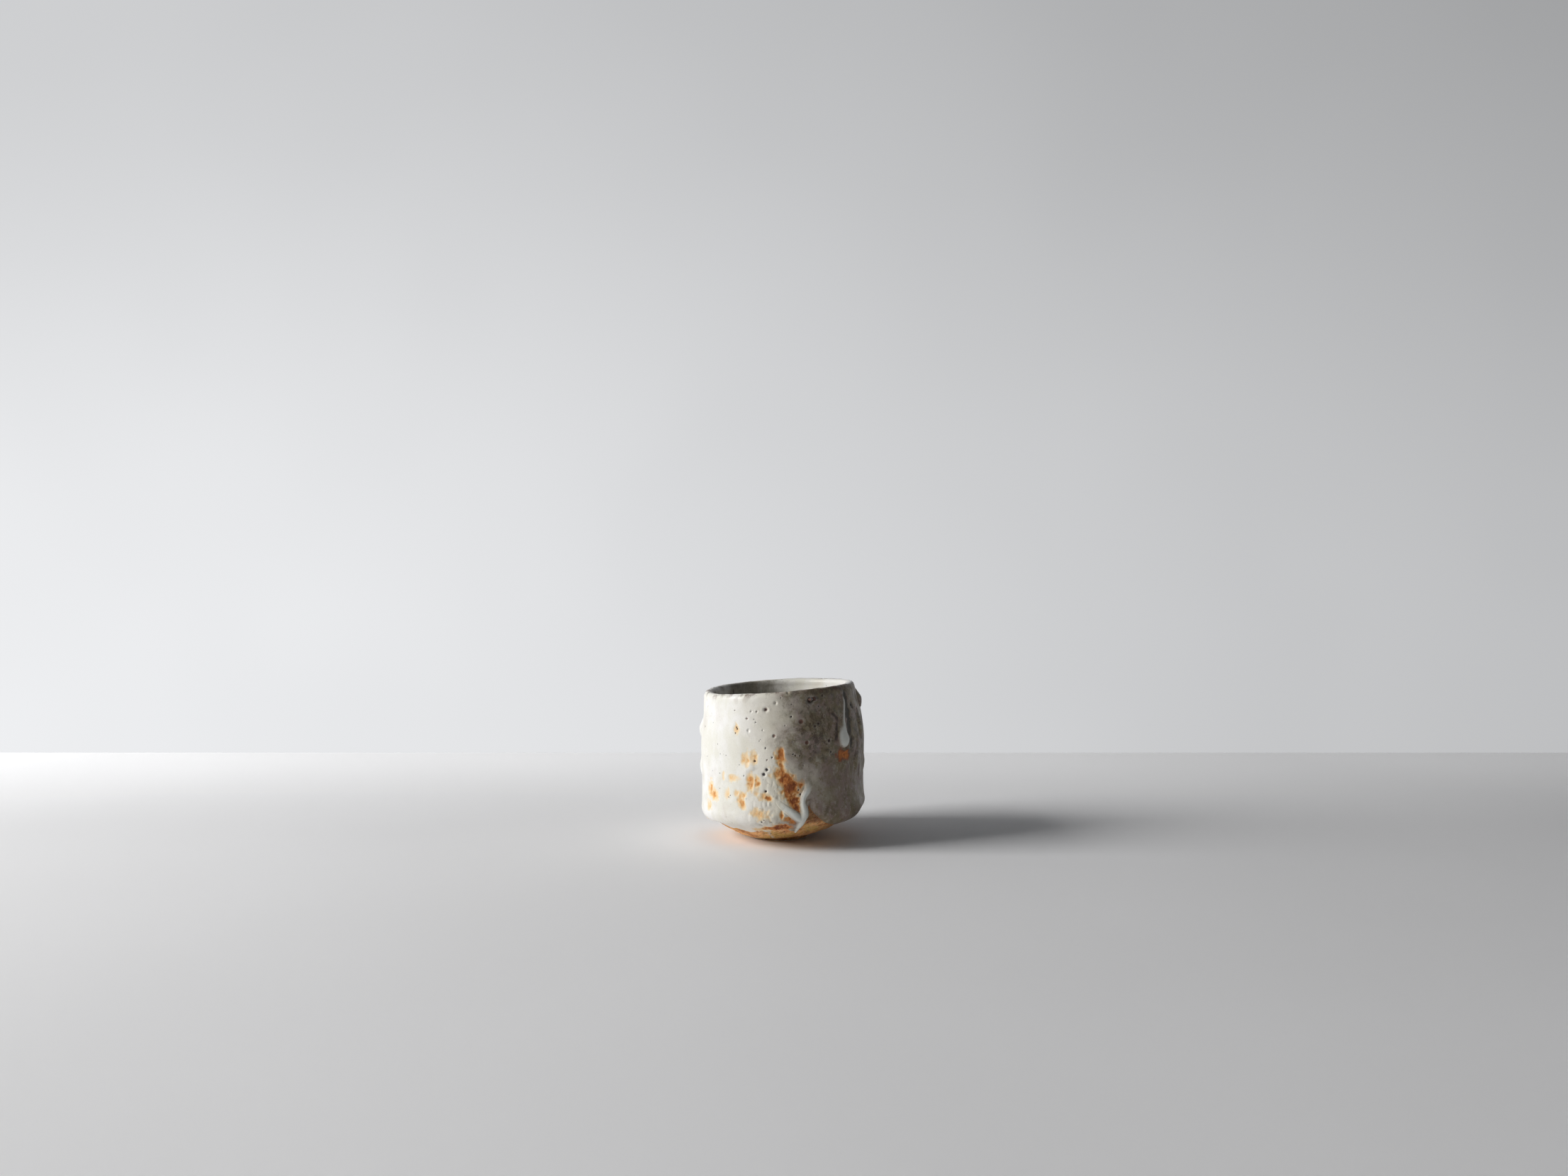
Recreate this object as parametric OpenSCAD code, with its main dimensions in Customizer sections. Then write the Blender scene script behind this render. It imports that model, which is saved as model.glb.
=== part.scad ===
// Guinomi: a small hand-formed sake cup in thick white glaze over ochre clay.
// Frame: +Z up, origin at the centre of the foot ring where it meets the table.
// Angles run anticlockwise from +X, the side on which the lip stands highest.

/* [Cup] */
// Width over the glaze at the belly
cup_w = 64; // [56:1:76]
// Mean height of the lip above the table
cup_h = 59.7; // [52:0.1:72]
// Rise of the lip on the +X side, and its fall on the other
lip_lean = 1.9; // [0:0.1:3]
// Depth of the lip's own wave
lip_wave = 0.2; // [0:0.05:0.8]
// Mean height of the waist, where the wall turns under
waist_h = 9.3; // [8.5:0.1:12]
// Rise of the waist on the +X side, and its fall on the other
waist_lean = 1.3; // [0:0.1:1.6]
// Depth of the hollows and swells that the hand left in the wall
wave = 0.3; // [0:0.05:0.5]

/* [Clay wall] */
// Thickness of the clay at the lip
lip_t = 2.2; // [1.8:0.1:3]
// Thickness of the clay at the belly
wall_t = 4.2; // [3.4:0.1:5]
// Thickness of the clay under the well
floor_t = 6; // [5:0.1:8]

/* [Foot] */
// Width over the foot ring
foot_w = 20.4; // [17:0.1:23]
// Width of the band of clay that the ring is made of
foot_band = 3.6; // [2.5:0.1:5]
// Mean height of the foot ring
foot_h = 1.3; // [1.2:0.1:2]
// Lean of the body on its level foot, in degrees
foot_tilt = 4.2; // [0:0.1:5]
// Width of the flat under the body that the ring is luted to
seat_w = 25; // [24.5:0.1:28]
// Bevel round the ring's outer lower edge
foot_bevel = 0.3; // [0.1:0.05:0.45]

/* [Glaze] */
// Thickness of the outer coat
glaze_t = 1; // [0.7:0.05:1.3]
// Thickness of the coat inside the well
liner_t = 0.8; // [0.6:0.05:1.1]
// Thickness of the outer coat at its ragged lower edge
edge_t = 0.6; // [0.4:0.05:0.8]
// Width at its foot of the notch in the coat that bares the clay
notch_w = 10.2; // [7:0.1:11]

/* [Runs] */
// Width of the long run that hangs from the lip
rim_run_w = 6.6; // [4:0.1:8]
// How far the long run stands out
rim_run_rise = 1.3; // [0.7:0.1:1.6]
// Width of the forked run
fork_w = 3; // [2:0.1:3.6]
// How far the forked run stands out
fork_rise = 1; // [0.6:0.1:1.3]
// Width of the rolled edge of the curtain of glaze
curtain_w = 4.4; // [3:0.1:5]
// How far the curtain's rolled edge stands out
curtain_rise = 1.2; // [0.8:0.1:1.5]
// Width of one bead of glaze
bead_w = 5; // [3:0.1:6]
// How far the fullest bead stands out
bead_rise = 1.5; // [0.8:0.1:1.8]
// Width of the burst stone
stone_w = 2.2; // [1.4:0.1:3]
// How far the stone stands out of the glaze
stone_rise = 0.6; // [0.3:0.05:0.8]

/* [Hidden] */

// Columns of the grid round the cup, the share by which they crowd, and the angle
// that they crowd towards, where the runs are
columns = 56;
crowd_share = 0.42;
crowd_angle = -66;

// Underside, from the flat seat out to the waist: share of the way out
under_shares = [0, 0.3, 0.6, 0.86];
// How much the underside swells, as a power of that share
under_power = 1.5;

// Clay wall, from the waist up: share of the height, then the radius as a share
// of the belly's on the -X side and on the +X side
wall_shares = [
    [0.00, 0.885, 0.930], [0.03, 0.943, 0.990], [0.075, 0.980, 1.030],
    [0.15, 0.988, 1.020], [0.26, 0.987, 1.012], [0.38, 0.987, 1.010],
    [0.50, 0.989, 1.011], [0.60, 0.990, 1.012], [0.70, 0.983, 0.997],
    [0.80, 0.972, 0.972], [0.88, 0.967, 0.943], [0.95, 0.965, 0.915],
    [1.00, 0.960, 0.895]];

// Angle at which the lip's own wave is highest, besides the one across from it
lip_wave_angle = 125;
// Steps over the rounded lip, in degrees from the outside
lip_turns = [35, 65, 90, 120, 150];

// Clay inside the well, from the lip down: share of the depth, then roundness,
// which is the share left of the radius inside the wall
well_shares = [[0.03, 1], [0.14, 1], [0.30, 1], [0.48, 1], [0.64, 0.99],
               [0.77, 0.965], [0.87, 0.90], [0.94, 0.76], [0.985, 0.48]];
// Share of the depth at which the wall reaches its full thickness
full_wall_share = 0.45;

// Counts of the outline's stations, and the stations that matter
under_n = len(under_shares);
wall_n = len(wall_shares);
lip_n = len(lip_turns);
well_n = len(well_shares);
edge_at = under_n - 1;
wall_end = under_n + wall_n - 1;
crest_at = wall_end + 1 + search(90, lip_turns)[0];
last_at = under_n + wall_n + lip_n + well_n - 1;

// Clay sizes that follow from the driving ones
belly_r = cup_w / 2 - glaze_t;
seat_r = seat_w / 2;
lip_r = lip_t / 2;

// The glaze's lower edge: its waves as a share of the step between two stations, and
// the notch between the forked run and the curtain, whose height and spread are
// shares of the wall's stations. Under the curtain the notch runs out in a long tail.
ragged_share = 0.3;
notch_angle = -69.5;
notch_high_share = 0.355;
notch_spread_share = 0.615;
notch_half_angle = notch_w / 2 / belly_r * 180 / PI;
notch_tail_angle = 3.8 * notch_half_angle;

function lerp(a, b, k) = a + (b - a) * k;
function clamp(k) = min(1, max(0, k));
function side(th) = (1 + cos(th)) / 2;
function column(i) = let (a = 360 * i / columns)
    a - crowd_share * 180 / PI * sin(a - crowd_angle);

// Heights round the cup
function seat_z(th) = foot_h + tan(foot_tilt) * seat_r * cos(th);
function waist_z(th) = waist_h + waist_lean * cos(th);
function crest_z(th) = cup_h - glaze_t + lip_lean * cos(th) + lip_wave * cos(2 * (th - lip_wave_angle));
function wall_top_z(th) = crest_z(th) - lip_r;
function floor_z() = foot_h + floor_t;

// Hand-made waviness, which dies away at the waist, at the lip and at both sides
function swell(th, u) = wave * sin(180 * u)
    * (sin(2 * th) * cos(230 * u) + sin(3 * th) * sin(310 * u) + sin(5 * th) * cos(420 * u) / 2);

// Radius of the clay wall at a share of its height
function wall_r(th, u) = belly_r * lerp(
        lookup(u, [for (row = wall_shares) [row[0], row[1]]]),
        lookup(u, [for (row = wall_shares) [row[0], row[2]]]), side(th)) + swell(th, u);

// Outline of the clay at one angle, as [radius, height] at each whole station
function under_point(th, w) = [lerp(seat_r, wall_r(th, 0), w),
                               lerp(seat_z(th), waist_z(th), pow(w, under_power))];
function wall_point(th, u) = [wall_r(th, u), lerp(waist_z(th), wall_top_z(th), u)];
function lip_point(th, turn) = [wall_r(th, 1) - lip_r + lip_r * cos(turn),
                                wall_top_z(th) + lip_r * sin(turn)];
function well_point(th, row) = let (
        z = lerp(wall_top_z(th), floor_z(), row[0]),
        u = (z - waist_z(th)) / (wall_top_z(th) - waist_z(th)),
        t = lerp(lip_t, wall_t, clamp(row[0] / full_wall_share)))
    [(wall_r(th, max(u, wall_shares[2][0])) - t) * row[1], z];
function station(th, j) =
    j < under_n ? under_point(th, under_shares[j])
    : j <= wall_end ? wall_point(th, wall_shares[j - under_n][0])
    : j <= wall_end + lip_n ? lip_point(th, lip_turns[j - wall_end - 1])
    : j <= last_at ? well_point(th, well_shares[j - wall_end - lip_n - 1])
    : [0, floor_z()];
function outline(th, q) = lerp(station(th, floor(q)), station(th, ceil(q)), q - floor(q));

// Where ring j lies along the outline: the rings bend to follow the glaze's edge
function notch(th) = let (d = (th - notch_angle + 540) % 360 - 180) notch_high_share * wall_n
    * pow(d < 0 ? cos(90 * min(1, -d / notch_half_angle)) : max(0, 1 - d / notch_tail_angle), 2);
function spread(j) = j <= edge_at ? j / edge_at
    : max(0, 1 - (j - edge_at) / (notch_spread_share * wall_n));
function rag(th) = ragged_share * (sin(7 * th) + sin(11 * th + 40) + sin(19 * th)) / 2;
function ring_at(th, j) = j + notch(th) * spread(j) + (j == edge_at ? rag(th) : 0);

// Clay and coat at ring j, as [radius, height]. The coat lies square to the clay.
function clay_at(th, j) = outline(th, ring_at(th, j));
function normal_at(th, j) = let (
        q = ring_at(th, j),
        d = outline(th, min(q + 0.5, last_at)) - outline(th, q - 0.5))
    [d[1], -d[0]] / norm(d);
function coat_t(j) = j < edge_at ? 0 : j == edge_at ? edge_t : j <= crest_at ? glaze_t : liner_t;
function coat_at(th, j) = j < edge_at ? clay_at(th, j) : clay_at(th, j) + coat_t(j) * normal_at(th, j);

function turn_out(th, p) = [p[0] * cos(th), p[0] * sin(th), p[1]];
function clay_ring(j) = [for (i = [0:columns - 1]) turn_out(column(i), clay_at(column(i), j))];
function coat_ring(j) = [for (i = [0:columns - 1]) turn_out(column(i), coat_at(column(i), j))];

// Triangles between ring a and ring b of a stack, and a fan from a ring to a pole
function band(a, b) = [for (i = [0:columns - 1]) let (k = (i + 1) % columns) each [
    [a * columns + i, b * columns + i, b * columns + k],
    [a * columns + i, b * columns + k, a * columns + k]]];
function fan(a, pole) = [for (i = [0:columns - 1]) [a * columns + i, pole, a * columns + (i + 1) % columns]];
function flip(faces) = [for (f = faces) [f[2], f[1], f[0]]];

// A closed form from rings, from its lowest ring to its highest, with a pole at each end
module stack(rings, low, high) {
    n = len(rings);
    polyhedron(
        points = concat([for (r = rings) each r], [low, high]),
        faces = concat(
            flip(fan(0, n * columns)),
            [for (j = [0:n - 2]) each band(j, j + 1)],
            fan(n - 1, n * columns + 1)));
}

// A closed skin between the clay and the coat, from ring a to ring b
module skin(a, b) {
    rings = concat([for (j = [a:b]) coat_ring(j)], [for (j = [b:-1:a]) clay_ring(j)]);
    n = len(rings);
    polyhedron(
        points = [for (r = rings) each r],
        faces = [for (j = [0:n - 1]) each band(j, (j + 1) % n)]);
}

// The glazed cup with its well filled, which cuts the backs of the runs to fit
module filled_form() {
    stack(concat([for (j = [0:edge_at]) clay_ring(j)], [for (j = [edge_at:crest_at]) coat_ring(j)]),
          [0, 0, foot_h], [0, 0, cup_h]);
}

// Glazed outline at one angle, as [height, radius] rows
function skin_rows(th) = [for (j = [0:crest_at - 1]) let (p = coat_at(th, j)) [p[1], p[0]]];

// A pearl of glaze of width w that stands out of the surface by rise. A small one
// has fewer facets.
small_pearl = bead_w / 2;
module pearl(th, z, w, rise) {
    rows = skin_rows(th);
    step = w / 8;
    slope = (lookup(z + step, rows) - lookup(z - step, rows)) / (2 * step);
    out = [1, -slope] / norm([1, -slope]);
    r = (w * w / 4 + rise * rise) / (2 * rise);
    p = [lookup(z, rows), z] - (r - rise) * out;
    translate(turn_out(th, p)) sphere(r = r, $fn = w < small_pearl ? 10 : 18);
}

// A chain of pearls along rows of [angle, share of the cup's height, share of the
// width, share of the rise]
module chain(path, w, rise) {
    for (k = [0:len(path) - 2]) hull() {
        pearl(path[k][0], path[k][1] * cup_h, w * path[k][2], rise * path[k][3]);
        pearl(path[k + 1][0], path[k + 1][1] * cup_h, w * path[k + 1][2], rise * path[k + 1][3]);
    }
}

// Long run from the lip down to its bulb
rim_run_shares = [
    [-39.0, 0.970, 0.42, 0.40], [-40.3, 0.938, 0.52, 0.55], [-41.8, 0.900, 0.58, 0.66],
    [-43.8, 0.855, 0.58, 0.74], [-45.1, 0.812, 0.57, 0.80], [-45.2, 0.770, 0.60, 0.86],
    [-45.0, 0.732, 0.68, 0.92], [-44.5, 0.705, 0.78, 0.98], [-43.9, 0.682, 0.85, 1.00]];

// Right branch of the forked run, down to its tip on the bare clay
fork_right_shares = [
    [-72.3, 0.530, 0.50, 0.45], [-71.9, 0.470, 0.72, 0.75], [-71.7, 0.430, 0.87, 0.95],
    [-72.4, 0.388, 0.92, 1.00], [-75.0, 0.348, 0.85, 0.95], [-75.7, 0.310, 0.75, 0.95],
    [-74.8, 0.270, 1.00, 1.05], [-74.5, 0.238, 1.20, 1.10], [-76.2, 0.204, 1.12, 1.05],
    [-78.0, 0.166, 0.88, 0.90], [-78.5, 0.134, 0.62, 0.70]];
// Left branch, which meets the right one above the tip
fork_left_shares = [
    [-99.0, 0.382, 0.45, 0.45], [-96.0, 0.354, 0.62, 0.68], [-92.5, 0.318, 0.76, 0.85],
    [-88.5, 0.283, 0.84, 0.95], [-84.5, 0.256, 0.90, 1.00], [-81.0, 0.234, 0.95, 1.00],
    [-77.8, 0.214, 1.00, 1.00]];

// Rolled edge of the curtain, from its top on the left round to the right
curtain_shares = [
    [-64.5, 0.540, 0.50, 0.50], [-65.0, 0.470, 0.75, 0.75], [-66.2, 0.400, 0.90, 0.90],
    [-67.5, 0.345, 1.00, 1.00], [-67.3, 0.300, 1.00, 1.00], [-65.0, 0.268, 1.00, 1.00],
    [-61.3, 0.238, 1.00, 1.00], [-55.6, 0.210, 1.00, 1.00], [-48.6, 0.195, 1.00, 1.00],
    [-40.5, 0.193, 1.00, 1.00], [-32.0, 0.194, 1.00, 0.95], [-24.0, 0.194, 0.95, 0.88],
    [-16.0, 0.196, 0.88, 0.78], [-8.0, 0.200, 0.72, 0.62]];
// The angle and the share of the cup's height that the curtain thins out towards,
// and the share of the way there that it reaches
curtain_to_angle = -42;
curtain_to_share = 0.62;
curtain_reach_share = 0.85;
curtain_steps = 5;

// Beads of glaze: angle, share of the cup's height at the top and at the bottom,
// share of the width and share of the rise
bead_shares = [
    [180, 0.750, 0.708, 1.00, 0.95], [180, 0.500, 0.455, 1.00, 0.75],
    [-3, 0.952, 0.914, 0.95, 0.92], [-4, 0.522, 0.490, 0.92, 0.45],
    [-19, 0.880, 0.700, 0.74, 0.70], [-27, 0.620, 0.510, 0.70, 0.62],
    [14, 0.800, 0.640, 0.84, 0.75], [38, 0.900, 0.780, 0.84, 0.80],
    [71, 0.660, 0.520, 0.80, 0.70], [118, 0.830, 0.760, 0.84, 0.70],
    [146, 0.430, 0.360, 0.84, 0.65]];
// What is left of a bead's width and rise at its top
bead_top_share = 0.6;

// The burst stone: its angle and height, and the turns of its grains
stone_at = [-67.3, 0.942];
stone_grains = 8;

// Surface of the curtain over the coat: angle, height and how far it stands out
function curtain_point(row, b, rise) = let (
        th = lerp(row[0], curtain_to_angle, b * curtain_reach_share),
        z = lerp(row[1], curtain_to_share, b * curtain_reach_share) * cup_h)
    turn_out(th, [lookup(z, skin_rows(th)) + rise, z]);

// The sheet behind the rolled edge, which thins out into the coat
module curtain_sheet() {
    n = len(curtain_shares);
    m = curtain_steps;
    top = [for (row = curtain_shares) for (b = [0:m])
        curtain_point(row, b / m, lerp(curtain_rise * row[3], -edge_t, pow(b / m, 2)))];
    low = [for (row = curtain_shares) for (b = [0:m]) curtain_point(row, b / m, -2 * edge_t)];
    under = n * (m + 1);
    function at(a, b) = a * (m + 1) + b;
    rim = concat([for (a = [0:n - 1]) at(a, 0)], [for (b = [1:m]) at(n - 1, b)],
                 [for (a = [n - 2:-1:0]) at(a, m)], [for (b = [m - 1:-1:1]) at(0, b)]);
    polyhedron(
        points = concat(top, low),
        faces = concat(
            [for (a = [0:n - 2]) for (b = [0:m - 1]) each [
                [at(a, b), at(a, b + 1), at(a + 1, b + 1)], [at(a, b), at(a + 1, b + 1), at(a + 1, b)]]],
            [for (a = [0:n - 2]) for (b = [0:m - 1]) each [
                [under + at(a + 1, b + 1), under + at(a, b + 1), under + at(a, b)],
                [under + at(a + 1, b), under + at(a + 1, b + 1), under + at(a, b)]]],
            [for (k = [0:len(rim) - 1]) let (p = rim[k], q = rim[(k + 1) % len(rim)]) each [
                [p, q, under + q], [p, under + q, under + p]]]));
}

module clay_body() {
    color("peru") stack([for (j = [0:last_at]) clay_ring(j)], [0, 0, foot_h], [0, 0, floor_z()]);
}

module foot_ring() {
    outer_r = foot_w / 2;
    over = 2 * foot_h;
    color("sienna") difference() {
        rotate_extrude($fn = 72) polygon([
            [outer_r - foot_band, 0], [outer_r - foot_bevel, 0], [outer_r, foot_bevel],
            [outer_r, over], [outer_r - foot_band, over]]);
        translate([0, 0, foot_h]) rotate([0, -foot_tilt, 0])
            translate([-foot_w, -foot_w, 0]) cube([2 * foot_w, 2 * foot_w, 2 * over]);
    }
}

module outer_glaze() {
    color("ivory") skin(edge_at, crest_at);
}

module liner_glaze() {
    n = last_at - crest_at + 1;
    points = concat([for (j = [crest_at:last_at]) each coat_ring(j)],
                    [for (j = [crest_at:last_at]) each clay_ring(j)],
                    [[0, 0, floor_z() + liner_t], [0, 0, floor_z()]]);
    pole = 2 * n * columns;
    color("floralwhite") polyhedron(points = points, faces = concat(
        [for (a = [0:n - 2]) each band(a, a + 1)], fan(n - 1, pole),
        flip([for (a = [0:n - 2]) each band(n + a, n + a + 1)]), flip(fan(2 * n - 1, pole + 1)),
        band(n, 0)));
}

module fork_chain() {
    chain(fork_right_shares, fork_w, fork_rise);
    chain(fork_left_shares, fork_w, fork_rise);
}

module curtain_run() {
    color("silver") difference() {
        union() {
            chain(curtain_shares, curtain_w, curtain_rise);
            curtain_sheet();
        }
        filled_form();
        fork_chain();
    }
}

module forked_run() {
    color("white") difference() {
        fork_chain();
        filled_form();
    }
}

module rim_run() {
    color("gainsboro") difference() {
        chain(rim_run_shares, rim_run_w, rim_run_rise);
        filled_form();
    }
}

module glaze_beads() {
    color("whitesmoke") difference() {
        for (row = bead_shares) hull() {
            pearl(row[0], row[1] * cup_h, bead_w * row[3] * bead_top_share,
                  bead_rise * row[4] * bead_top_share);
            pearl(row[0], row[2] * cup_h, bead_w * row[3], bead_rise * row[4]);
        }
        filled_form();
    }
}

module burst_stone() {
    z = stone_at[1] * cup_h;
    shift = stone_w / 8;
    color("snow") difference() {
        for (k = [0:stone_grains - 1]) let (a = 360 * k / stone_grains) hull() {
            pearl(stone_at[0], z, stone_w * 0.7, stone_rise);
            translate([0, 0, shift * sin(a)])
                pearl(stone_at[0] + cos(a), z, stone_w * 0.6, stone_rise * (0.7 + 0.2 * sin(3 * a)));
        }
        filled_form();
    }
}

clay_body();
foot_ring();
outer_glaze();
liner_glaze();
curtain_run();
forked_run();
rim_run();
glaze_beads();
burst_stone();
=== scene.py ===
from math import radians

import bpy
import numpy as np
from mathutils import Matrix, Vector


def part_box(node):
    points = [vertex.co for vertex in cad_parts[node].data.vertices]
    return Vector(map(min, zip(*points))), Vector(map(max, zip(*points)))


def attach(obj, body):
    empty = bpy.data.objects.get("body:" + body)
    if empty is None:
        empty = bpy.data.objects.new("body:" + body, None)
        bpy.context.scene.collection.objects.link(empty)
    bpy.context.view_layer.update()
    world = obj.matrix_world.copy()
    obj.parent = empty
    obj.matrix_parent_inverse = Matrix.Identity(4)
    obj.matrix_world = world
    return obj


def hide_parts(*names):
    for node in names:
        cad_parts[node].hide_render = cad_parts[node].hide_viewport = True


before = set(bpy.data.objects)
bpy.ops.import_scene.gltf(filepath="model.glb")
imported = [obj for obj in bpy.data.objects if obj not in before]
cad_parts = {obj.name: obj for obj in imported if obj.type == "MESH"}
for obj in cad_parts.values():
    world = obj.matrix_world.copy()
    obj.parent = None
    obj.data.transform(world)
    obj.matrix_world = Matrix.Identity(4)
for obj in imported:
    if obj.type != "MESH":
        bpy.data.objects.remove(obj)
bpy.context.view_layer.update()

bl_info = {
    "name": "Guinomi sake cup",
    "version": (1, 0, 0),
    "blender": (4, 5, 0),
    "location": "View3D > Sidebar > Guinomi",
    "description": "Hand-formed sake cup in thick white glaze over ochre clay",
    "category": "Object",
}

# Metres, with +Z up and the origin at the centre of the foot ring on the table.
# Angles run anticlockwise from +X, the side on which the lip stands highest.
MM = 0.001
FOOT_LOW, FOOT_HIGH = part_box("foot_ring")


def paint(red, green, blue):
    """Linear colour, with alpha, of a paint given in 0 to 255 as a screen shows it."""
    c = np.array([red, green, blue]) / 255
    c = np.where(c <= 0.04045, c / 12.92, ((c + 0.055) / 1.055) ** 2.4)
    return (*c.tolist(), 1.0)


def length(name, description, default, low, high):
    """A property for a length, kept in metres."""
    return bpy.props.FloatProperty(
        name=name, description=description, default=default, min=low, max=high,
        subtype="DISTANCE", unit="LENGTH", precision=5)


def colour(name, description, default):
    """A property for a colour."""
    return bpy.props.FloatVectorProperty(
        name=name, description=description, default=default, size=4, min=0, max=1, subtype="COLOR")


class GuinomiForm(bpy.types.PropertyGroup):
    """Sizes of the clay and of its coats"""
    width: length("Width", "Width over the glaze at the belly", 64 * MM, 0.05, 0.08)
    height: length("Height", "Mean height of the lip above the table", 59.7 * MM, 0.05, 0.08)
    lip_lean: length("Lip lean", "Rise of the lip on the +X side", 1.9 * MM, 0, 0.003)
    lip_wave: length("Lip wave", "Depth of the lip's own wave", 0.2 * MM, 0, 0.001)
    waist: length("Waist", "Mean height at which the wall turns under", 9.3 * MM, 0.008, 0.012)
    waist_lean: length("Waist lean", "Rise of the waist on the +X side", 1.3 * MM, 0, 0.002)
    wave: length("Wave", "Depth of the hollows that the hand left", 0.3 * MM, 0, 0.0005)
    lip_wall: length("Lip wall", "Thickness of the clay at the lip", 2.2 * MM, 0.001, 0.003)
    wall: length("Wall", "Thickness of the clay at the belly", 4.2 * MM, 0.003, 0.006)
    floor: length("Floor", "Thickness of the clay under the well", 6 * MM, 0.004, 0.009)
    seat_width: length("Seat width", "Width of the flat under the body", 25 * MM, 0.02, 0.03)
    foot_width: length("Foot width", "Width over the foot ring", FOOT_HIGH.x - FOOT_LOW.x, 0.015, 0.025)
    foot_band: length("Foot band", "Width of the foot ring's band", 3.6 * MM, 0.002, 0.005)
    foot_height: length("Foot height", "Mean height of the foot ring", 1.3 * MM, 0.001, 0.002)
    foot_round: length("Foot round", "Rounding of the foot's lower edges", 0.3 * MM, 0.0001, 0.0005)
    foot_tilt: bpy.props.FloatProperty(
        name="Foot tilt", description="Lean of the body on its level foot",
        default=radians(4.2), min=0, max=radians(6), subtype="ANGLE", unit="ROTATION")
    coat: length("Coat", "Thickness of the outer glaze", 1.0 * MM, 0.0005, 0.0015)
    liner: length("Liner", "Thickness of the glaze in the well", 0.8 * MM, 0.0005, 0.0015)
    edge_roll: length("Edge roll", "Rounding of the coat's lower edge", 0.9 * MM, 0.0003, 0.002)
    notch_width: length("Notch width", "Width at its foot of the notch in the coat", 10.2 * MM, 0.007, 0.011)


class GuinomiRuns(bpy.types.PropertyGroup):
    """Sizes of the runs, beads and stone"""
    rim_width: length("Rim run width", "Width of the run that hangs from the lip", 6.6 * MM, 0.003, 0.009)
    rim_rise: length("Rim run rise", "How far that run stands out", 1.3 * MM, 0.0005, 0.002)
    fork_width: length("Fork width", "Width of the forked run", 3.0 * MM, 0.001, 0.005)
    fork_rise: length("Fork rise", "How far the forked run stands out", 1.0 * MM, 0.0005, 0.002)
    curtain_width: length("Curtain roll", "Width of the curtain's rolled edge", 4.4 * MM, 0.002, 0.006)
    curtain_rise: length("Curtain rise", "How far its rolled edge stands out", 1.2 * MM, 0.0005, 0.002)
    bead_width: length("Bead width", "Width of one bead", 5.0 * MM, 0.002, 0.007)
    bead_rise: length("Bead rise", "How far the fullest bead stands out", 1.5 * MM, 0.0005, 0.002)
    stone_width: length("Stone width", "Width of the burst stone", 2.2 * MM, 0.001, 0.003)
    stone_rise: length("Stone rise", "How far the stone stands out", 0.6 * MM, 0.0002, 0.001)


class GuinomiColours(bpy.types.PropertyGroup):
    """Colours of the glaze, the clay and the stage"""
    white: colour("White", "Thick milky glaze", paint(238, 237, 235))
    cool: colour("Cool", "Greenish grey of thinner glaze", paint(212, 209, 190))
    mauve: colour("Mauve", "Mauve grey of glaze over iron", paint(203, 192, 184))
    # Olive is also laid as painted shade: in the hollows between crawled lumps, below the lip on the right
    # and round the left of the well.
    olive: colour("Olive", "Olive brown of starved glaze", paint(116, 102, 74))
    # Painted shade and thinner glaze: these two greys darken the side away from the light.
    thin_and_shaded: colour("Thin", "Olive grey of the thinner glaze on one side", paint(136, 124, 102))
    thin_and_shaded_mauve: colour("Thin mauve", "Mauve grey of the thinner glaze on one side", paint(145, 127, 118))
    cream: colour("Cream", "Warm white of the glaze on the front", paint(230, 222, 200))
    milk: colour("Milk", "Cool white of the thickest glaze", paint(236, 240, 235))
    umber: colour("Umber", "Dark brown smears on the thin side", paint(62, 49, 37))
    moss: colour("Moss", "Grey-green clouds on the thin side", paint(100, 105, 88))
    plum: colour("Plum", "Grey-violet clouds on the thin side", paint(112, 98, 101))
    # Painted shade: the colour laid in hollows where shade falls.
    gap: colour("Gap", "Greenish black of the hollows between drips", paint(46, 43, 36))
    pale_fire: colour("Pale fire", "Pale cream at the rim of a fire patch", paint(238, 215, 176))
    mild_fire: colour("Mild fire", "Light orange of a faint fire patch", paint(240, 192, 124))
    fire: colour("Fire", "Orange of thin glaze", paint(205, 126, 62))
    bright_fire: colour("Bright fire", "Light tan of beaded glaze in a fire patch", paint(222, 158, 92))
    deep_fire: colour("Deep fire", "Red-brown in the middle of a fire patch, or round it", paint(132, 66, 34))
    iron: colour("Iron", "Blackish purple of an iron spot", paint(32, 20, 27))
    rust: colour("Rust", "Red-brown of a pit", paint(96, 50, 34))
    clay: colour("Clay", "Bare ochre clay", paint(255, 198, 134))
    clay_pale: colour("Pale clay", "Sandy bloom on the clay", paint(246, 212, 164))
    clay_dark: colour("Dark clay", "Scorched clay", paint(204, 130, 80))
    clay_ochre: colour("Ochre clay", "Yellow ochre bloom on the clay", paint(222, 180, 100))
    clay_flash: colour("Flash", "Orange flash along the glaze's edge", paint(212, 108, 50))
    # Painted shade: laid high in the notch between the runs; also the colour of the small scars.
    clay_maroon: colour("Maroon", "Scorched hollow between the runs", paint(108, 62, 46))
    table: colour("Table", "Pale table", paint(249, 249, 250))
    wall: colour("Wall", "Pale wall behind", paint(226, 227, 229))


# Outline of the clay, in shares. Underside: share of the way out from the seat, and the
# power that bends it.
UNDER = np.array([0, 0.3, 0.6, 0.86])
UNDER_POWER = 1.5
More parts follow.
